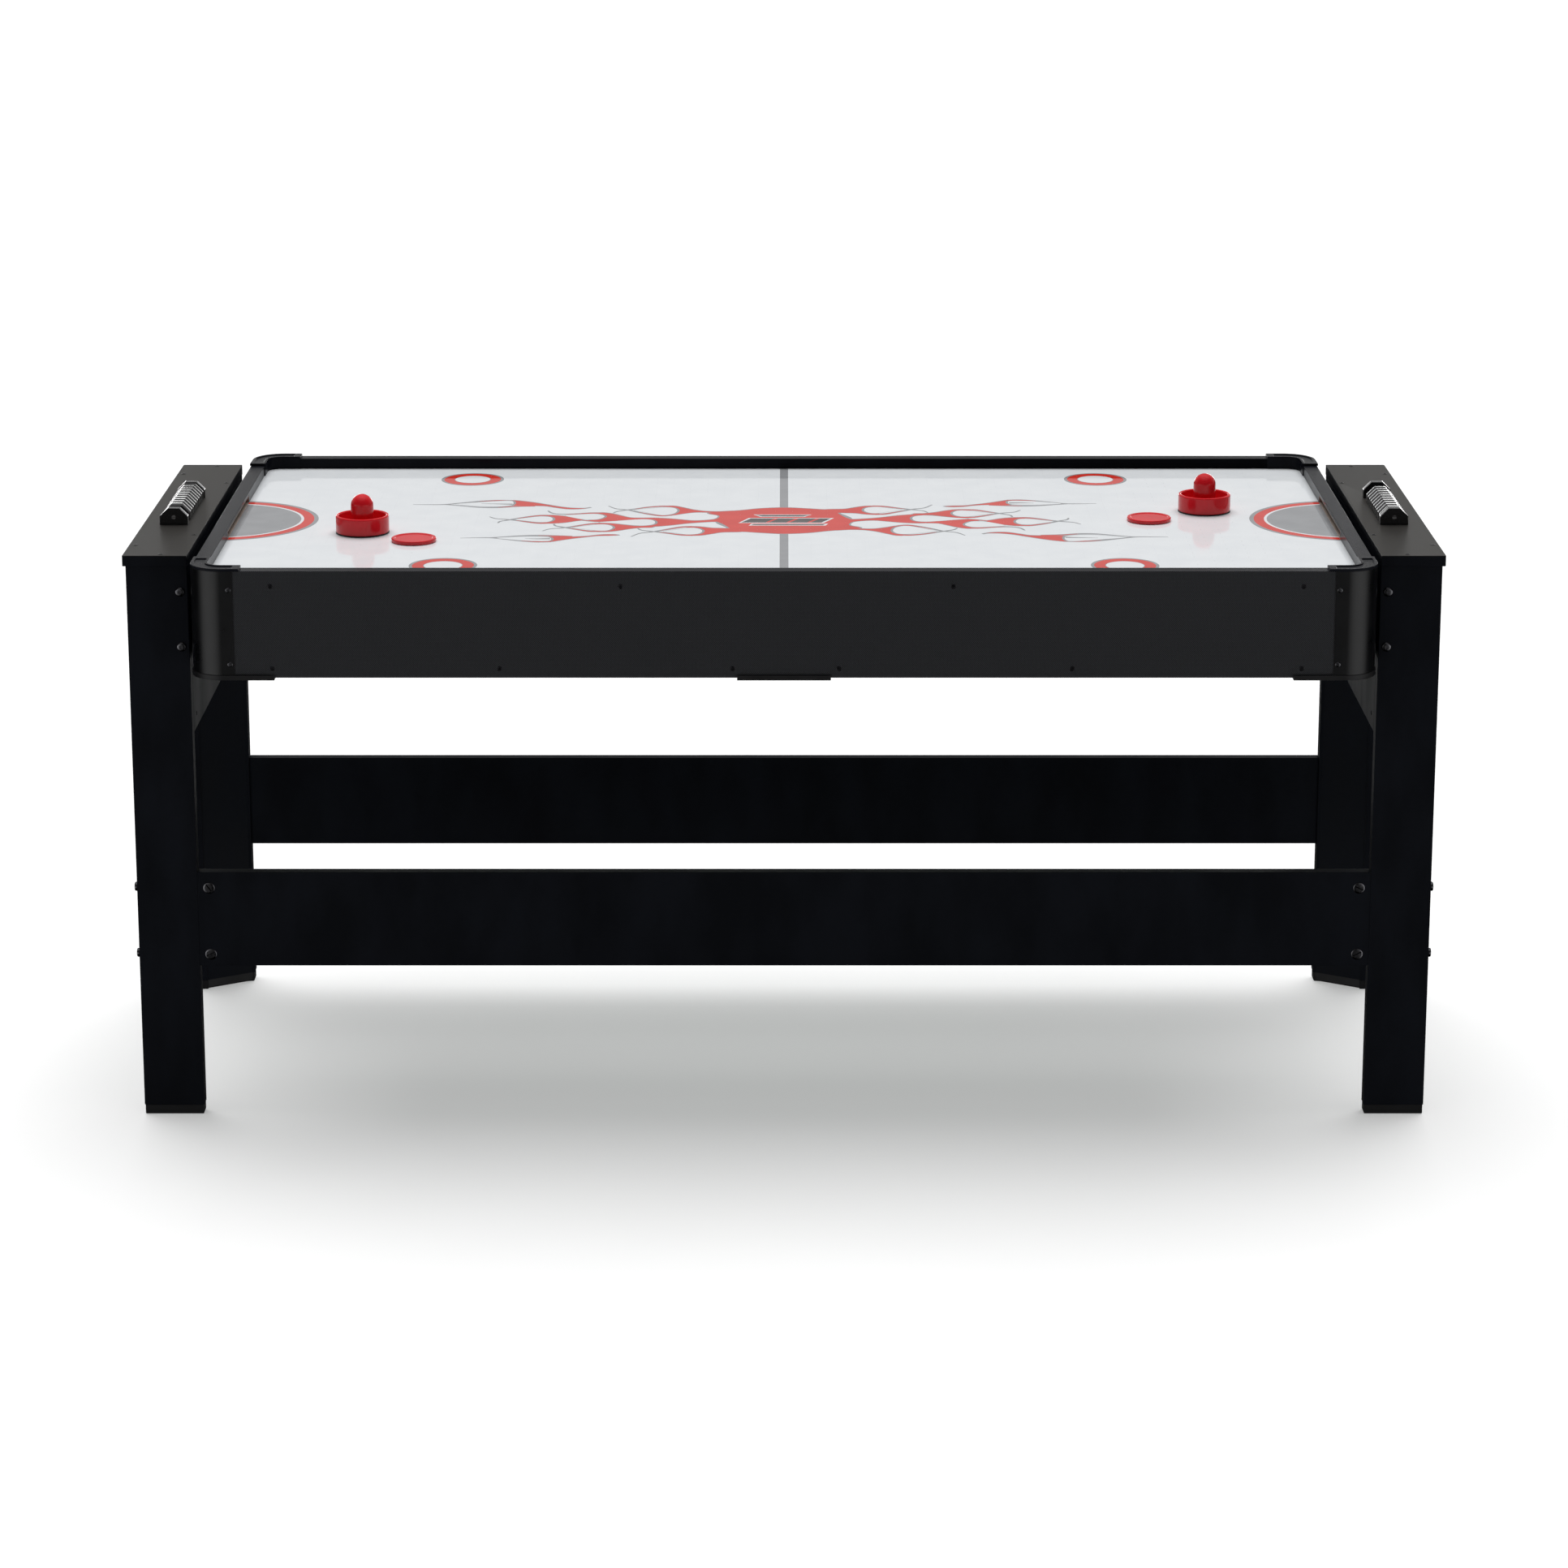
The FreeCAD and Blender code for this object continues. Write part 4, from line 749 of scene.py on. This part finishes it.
def placeHeads(name, node, kinds):
    # kinds: shape, finish and a test that picks which spots of the node take them
    spots = islands(node)
    shape = bmesh.new()
    for index, (kind, finish, wanted) in enumerate(kinds):
        host = bpy.data.meshes.new(kind + "Spots")
        points, ways = [], []
        for low, high in spots:
            size, middle = high - low, (low + high) / 2
            if not wanted(size, middle):
                continue
            axis = max(range(3), key=lambda i: size[i])
            if kind == "slotNut":
                axis = 1
            way = Vector((0, 0, 0))
            way[axis] = 1 if middle[axis] > 0 else -1
            face = Vector(middle)
            face[axis] = high[axis] if way[axis] > 0 else low[axis]
            points.append(face - way * screws[kind]["rise"] * mm)
            ways.append(way)
        host.from_pydata(points, [], [])
        facing = host.attributes.new("facing", "FLOAT_VECTOR", "POINT")
        facing.data.foreach_set("vector", np.array(ways, np.float32).ravel())
        pattern = bpy.data.objects.new(kind, screwShape(kind))
        values = {"Head": pattern, "Size": 1.0, "Seed": 4, "Finish": finishes[finish]}
        grownHeads = growTree(heads, host, values)
        bpy.data.objects.remove(pattern)
        done = len(shape.faces)
        shape.from_mesh(grownHeads)
        shape.faces.ensure_lookup_table()
        for face in shape.faces[done:]:
            face.material_index = index
    return place(name, toMesh(shape, name), node, [finishes[finish] for _, finish, _ in kinds], crease=40)


def anywhere(size, middle):
    return True


def inCasting(size, middle):
    return abs(middle.x) > castingFrom[0] and abs(middle.y) > castingFrom[1]


castingFrom = (0.75, 0.33)      # screws past both of these hold the corner castings
heads = headTree()
placeHeads("cabinet_screw_heads", "cabinet_screws",
           [("crossHead", "darkChrome", inCasting),
            ("crossHead", "blackZinc", lambda size, middle: not inCasting(size, middle))])
placeHeads("frame_screw_heads", "frame_screws", [("crossHead", "blackZinc", anywhere)])
placeHeads("frame_bolt_heads", "frame_bolts", [("socketBolt", "darkChrome", anywhere)])
placeHeads("barrel_nut_faces", "barrel_nuts", [("slotNut", "darkChrome", anywhere)])
print("screws, bolts and nuts placed")


# scorer beads

beadEdge = {"width": 0.7, "segments": 3, "shortest": 1.0}


def beadTree():
    tree, given = startTree("scoreBeads", [("Places", "Geometry"), ("Bead", "Object"),
                                           ("Finish", "Material")])
    bead = addNode(tree, "GeometryNodeObjectInfo", {"Object": given["Bead"]}).outputs["Geometry"]
    spread = addNode(tree, "GeometryNodeInstanceOnPoints", {"Points": given["Places"], "Instance": bead})
    endTree(tree, spread.outputs[0], given["Finish"])
    return tree


def placeBeads(tree, node):
    spots = islands(node)
    low, high = spots[0]
    middle = (low + high) / 2
    shape = mergedCopy(node)
    away = [v for v in shape.verts if abs(v.co.y - middle.y) > (high.y - low.y) / 2 + touching]
    bmesh.ops.delete(shape, geom=away, context="VERTS")
    bmesh.ops.translate(shape, verts=shape.verts, vec=-middle)
    roundEdges(shape, **beadEdge)
    pattern = bpy.data.objects.new("bead", toMesh(shape, "bead"))
    host = bpy.data.meshes.new("beadSpots")
    host.from_pydata([(a + b) / 2 for a, b in spots], [], [])
    mesh = growTree(tree, host, {"Bead": pattern, "Finish": finishes["scorerGloss"]})
    bpy.data.objects.remove(pattern)
    return place(node + "_moulded", mesh, node, [finishes["scorerGloss"]])


beads = beadTree()
for node in ("left_score_beads", "right_score_beads"):
    placeBeads(beads, node)
print("scorer beads placed")


# pushers and pucks, turned

pusherShape = {"wallR": 38.0, "wallTop": 24.5, "lip": 4.4, "well": 6.2, "wellR": 31.0, "knobR": 16.5,
               "domeR": 16.1, "bevel": 0.9}
puckShape = {"radius": 31.75, "rim": 5.0, "dip": 0.9, "corner": 0.9, "bevel": 0.35}


def arc(cx, cz, radius, start, stop, steps):
    return [(cx + radius * math.cos(math.radians(t)), cz + radius * math.sin(math.radians(t)))
            for t in np.linspace(start, stop, steps)]


def bevelTurned(mesh, width):
    shape = bmesh.new()
    shape.from_mesh(mesh)
    edges = [e for e in shape.edges if len(e.link_faces) == 2 and e.calc_face_angle(0) > math.radians(32)]
    bmesh.ops.bevel(shape, geom=edges, offset=width * mm, offset_type="OFFSET", segments=3, profile=0.5,
                    affect="EDGES", clamp_overlap=True)
    bmesh.ops.recalc_face_normals(shape, faces=shape.faces)
    return toMesh(shape, "turned")


for side in ("left", "right"):
    low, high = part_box(side + "_pusher")
    tall = (high.z - low.z) / mm
    p = pusherShape
    lipMid = p["wallR"] - p["lip"] / 2
    profile = [(0, 0), (p["wallR"] - 0.6, 0), (p["wallR"], 0.8), (p["wallR"], p["wallTop"] - p["lip"] / 2)]
    profile += arc(lipMid, p["wallTop"] - p["lip"] / 2, p["lip"] / 2, 0, 180, 9)[1:]
    profile += [(p["wellR"] + 1.2, p["well"] + 3), (p["wellR"] - 1.0, p["well"]),
                (p["knobR"] + 4.5, p["well"]), (p["knobR"] + 1.2, p["well"] + 1.2),
                (p["knobR"] + 0.1, p["well"] + 4.5)]
    profile += arc(0, tall - p["domeR"], p["domeR"], 0, 90, 12)[:-1] + [(0, tall)]
    centre = ((low.x + high.x) / 2, (low.y + high.y) / 2, low.z)
    place(side + "_pusher_turned", bevelTurned(lathe(profile, centre), p["bevel"]), side + "_pusher",
          [finishes["redGloss"]], crease=50)
    low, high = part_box(side + "_pusher_felt")
    thick, radius = (high.z - low.z) / mm, (high.x - low.x) / 2 / mm
    profile = [(0, 0), (radius - 0.5, 0), (radius, 0.4),
               (radius, thick - 0.3), (radius - 0.3, thick), (0, thick)]
    felt = lathe(profile, (centre[0], centre[1], low.z))
    place(side + "_pusher_sole", felt, side + "_pusher_felt", [finishes["blackFelt"]])
    low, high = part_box(side + "_puck")
    thick, q = (high.z - low.z) / mm, puckShape
    wide, rimFrom, corner = q["radius"], q["radius"] - q["rim"], q["corner"]
    profile = [(0, q["dip"]), (rimFrom - 0.8, q["dip"]), (rimFrom, 0), (wide - corner, 0), (wide, corner),
               (wide, thick - corner), (wide - corner, thick), (rimFrom, thick),
               (rimFrom - 0.8, thick - q["dip"]), (0, thick - q["dip"])]
    centre = ((low.x + high.x) / 2, (low.y + high.y) / 2, low.z)
    place(side + "_puck_turned", bevelTurned(lathe(profile, centre), q["bevel"]), side + "_puck",
          [finishes["redGloss"]], crease=50)
print("pushers and pucks turned")


# pool side: cloth over the bed and over the cushions

cushionEdge = {"width": 1.6, "segments": 3, "shortest": 1.0, "sharpest": 20}


low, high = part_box("pool_cloth")
clothMesh = toMesh(mergedCopy("pool_cloth"), "pool_cloth_sheet")
clothSheet = place("pool_cloth_sheet", clothMesh, "pool_cloth", [finishes["poolCloth"]], flat=False)
for node in ("long_cushions", "end_cushions"):
    shape = mergedCopy(node)
    roundEdges(shape, **cushionEdge)
    place(node + "_covered", toMesh(shape, node), node, [finishes["poolCloth"]])


# floor, light and camera

studio = {"floorHalf": 60.0, "floorGlow": 0.35, "sun": 2.75, "sunAngle": 60.0, "sunTilt": -20, "back": 0.37,
          "front": 0.06, "top": 0.5, "horizon": 5.0, "sides": 1.2, "sidesWay": (0.75, 0.66)}
camera = {"place": (0.0, -6.140, 2.112), "down": 13.52, "lens": 99.6, "shift": -0.1}


def buildStudio():
    half = studio["floorHalf"]
    mesh = bpy.data.meshes.new("studio_floor")
    corners = [(-half, -half, 0), (half, -half, 0), (half, half, 0), (-half, half, 0)]
    mesh.from_pydata(corners, [], [(0, 1, 2, 3)])
    floor = bpy.data.objects.new("studio_floor", mesh)
    bpy.context.scene.collection.objects.link(floor)
    mesh.materials.append(makeFinish("paleFloor", (0.70, 0.70, 0.70), (0.72, 0.72, 0.72), (0.8, 0.9),
                                     cloud=(2, 2, 2), Specular_IOR_Level=0.0, Emission_Color=(1, 1, 1, 1),
                                     Emission_Strength=studio["floorGlow"]))
    floor.visible_glossy = False

    world = bpy.data.worlds.new("studio")
    bpy.context.scene.world = world
    world.use_nodes = True
    tree = world.node_tree
    way = addNode(tree, "ShaderNodeTexCoord").outputs["Generated"]
    axes = addNode(tree, "ShaderNodeSeparateXYZ", {"Vector": way}).outputs

    def ramp(value, low, high, start, stop):
        return addNode(tree, "ShaderNodeMapRange", {"Value": value, "From Min": low, "From Max": high,
                                                    "To Min": start, "To Max": stop},
                       interpolation_type="SMOOTHSTEP").outputs["Result"]

    def combine(kind, first, second=0.0):
        return maths(tree, kind, first, second)

    across = combine("ABSOLUTE", axes["X"])
    # a backdrop that is lighter behind the table, and a soft glow straight overhead
    backdrop = ramp(axes["Y"], -0.3, 0.6, studio["front"], studio["back"])
    sky = combine("MULTIPLY", combine("ADD", backdrop, ramp(axes["Z"], 0.7, 0.95, 0.0, studio["top"])),
                  ramp(axes["Z"], -0.04, 0.06, 0.0, 1.0))
    # a bright low strip far behind, left and right of the middle, for the sheen on rails and castings
    level = combine("MULTIPLY", ramp(axes["Z"], 0.06, 0.14, studio["horizon"], 0.0),
                    ramp(axes["Z"], -0.2, -0.15, 0.0, 1.0))
    strip = combine("MULTIPLY", combine("MULTIPLY", level, ramp(axes["Y"], 0.88, 0.95, 0.0, 1.0)),
                    ramp(across, 0.1, 0.17, 0.0, 1.0))
    # two side lights in front of the table, below the horizon, for the band down each corner casting
    sideways, forwards = studio["sidesWay"]
    aside = combine("SUBTRACT", combine("MULTIPLY", across, sideways),
                    combine("MULTIPLY", axes["Y"], forwards))
    wings = combine("MULTIPLY", ramp(aside, 0.68, 1.0, 0.0, studio["sides"]),
                    ramp(axes["Z"], 0.0, 0.1, 1.0, 0.0))
    depth = combine("ADD", combine("ADD", sky, strip), wings)
    soft = tree.nodes["Background"]
    tree.links.new(depth, soft.inputs["Strength"])
    plain = addNode(tree, "ShaderNodeBackground", {"Strength": 1.0, "Color": (1, 1, 1, 1)})
    seen = addNode(tree, "ShaderNodeLightPath").outputs["Is Camera Ray"]
    mixed = addNode(tree, "ShaderNodeMixShader", {"Fac": seen})
    tree.links.new(soft.outputs[0], mixed.inputs[1])
    tree.links.new(plain.outputs[0], mixed.inputs[2])
    soft.inputs["Color"].default_value = (1, 1, 1, 1)
    tree.links.new(mixed.outputs[0], tree.nodes["World Output"].inputs["Surface"])

    light = bpy.data.lights.new("overhead", "SUN")
    light.energy = studio["sun"]
    light.angle = math.radians(studio["sunAngle"])
    lamp = bpy.data.objects.new("overhead", light)
    lamp.rotation_euler = (math.radians(studio["sunTilt"]), 0, 0)
    lamp.visible_glossy = False     # the wide soft light adds no veil to the lacquer
    bpy.context.scene.collection.objects.link(lamp)

    lens = bpy.data.cameras.new("view")
    lens.lens, lens.sensor_width, lens.shift_y = camera["lens"], 36.0, camera["shift"]
    lens.clip_end = 200
    eye = bpy.data.objects.new("view", lens)
    eye.location = camera["place"]
    eye.rotation_euler = (math.radians(90 - camera["down"]), 0, 0)
    bpy.context.scene.collection.objects.link(eye)
    bpy.context.scene.camera = eye
    bpy.context.scene.view_settings.view_transform = "Standard"


buildStudio()
print("studio ready")
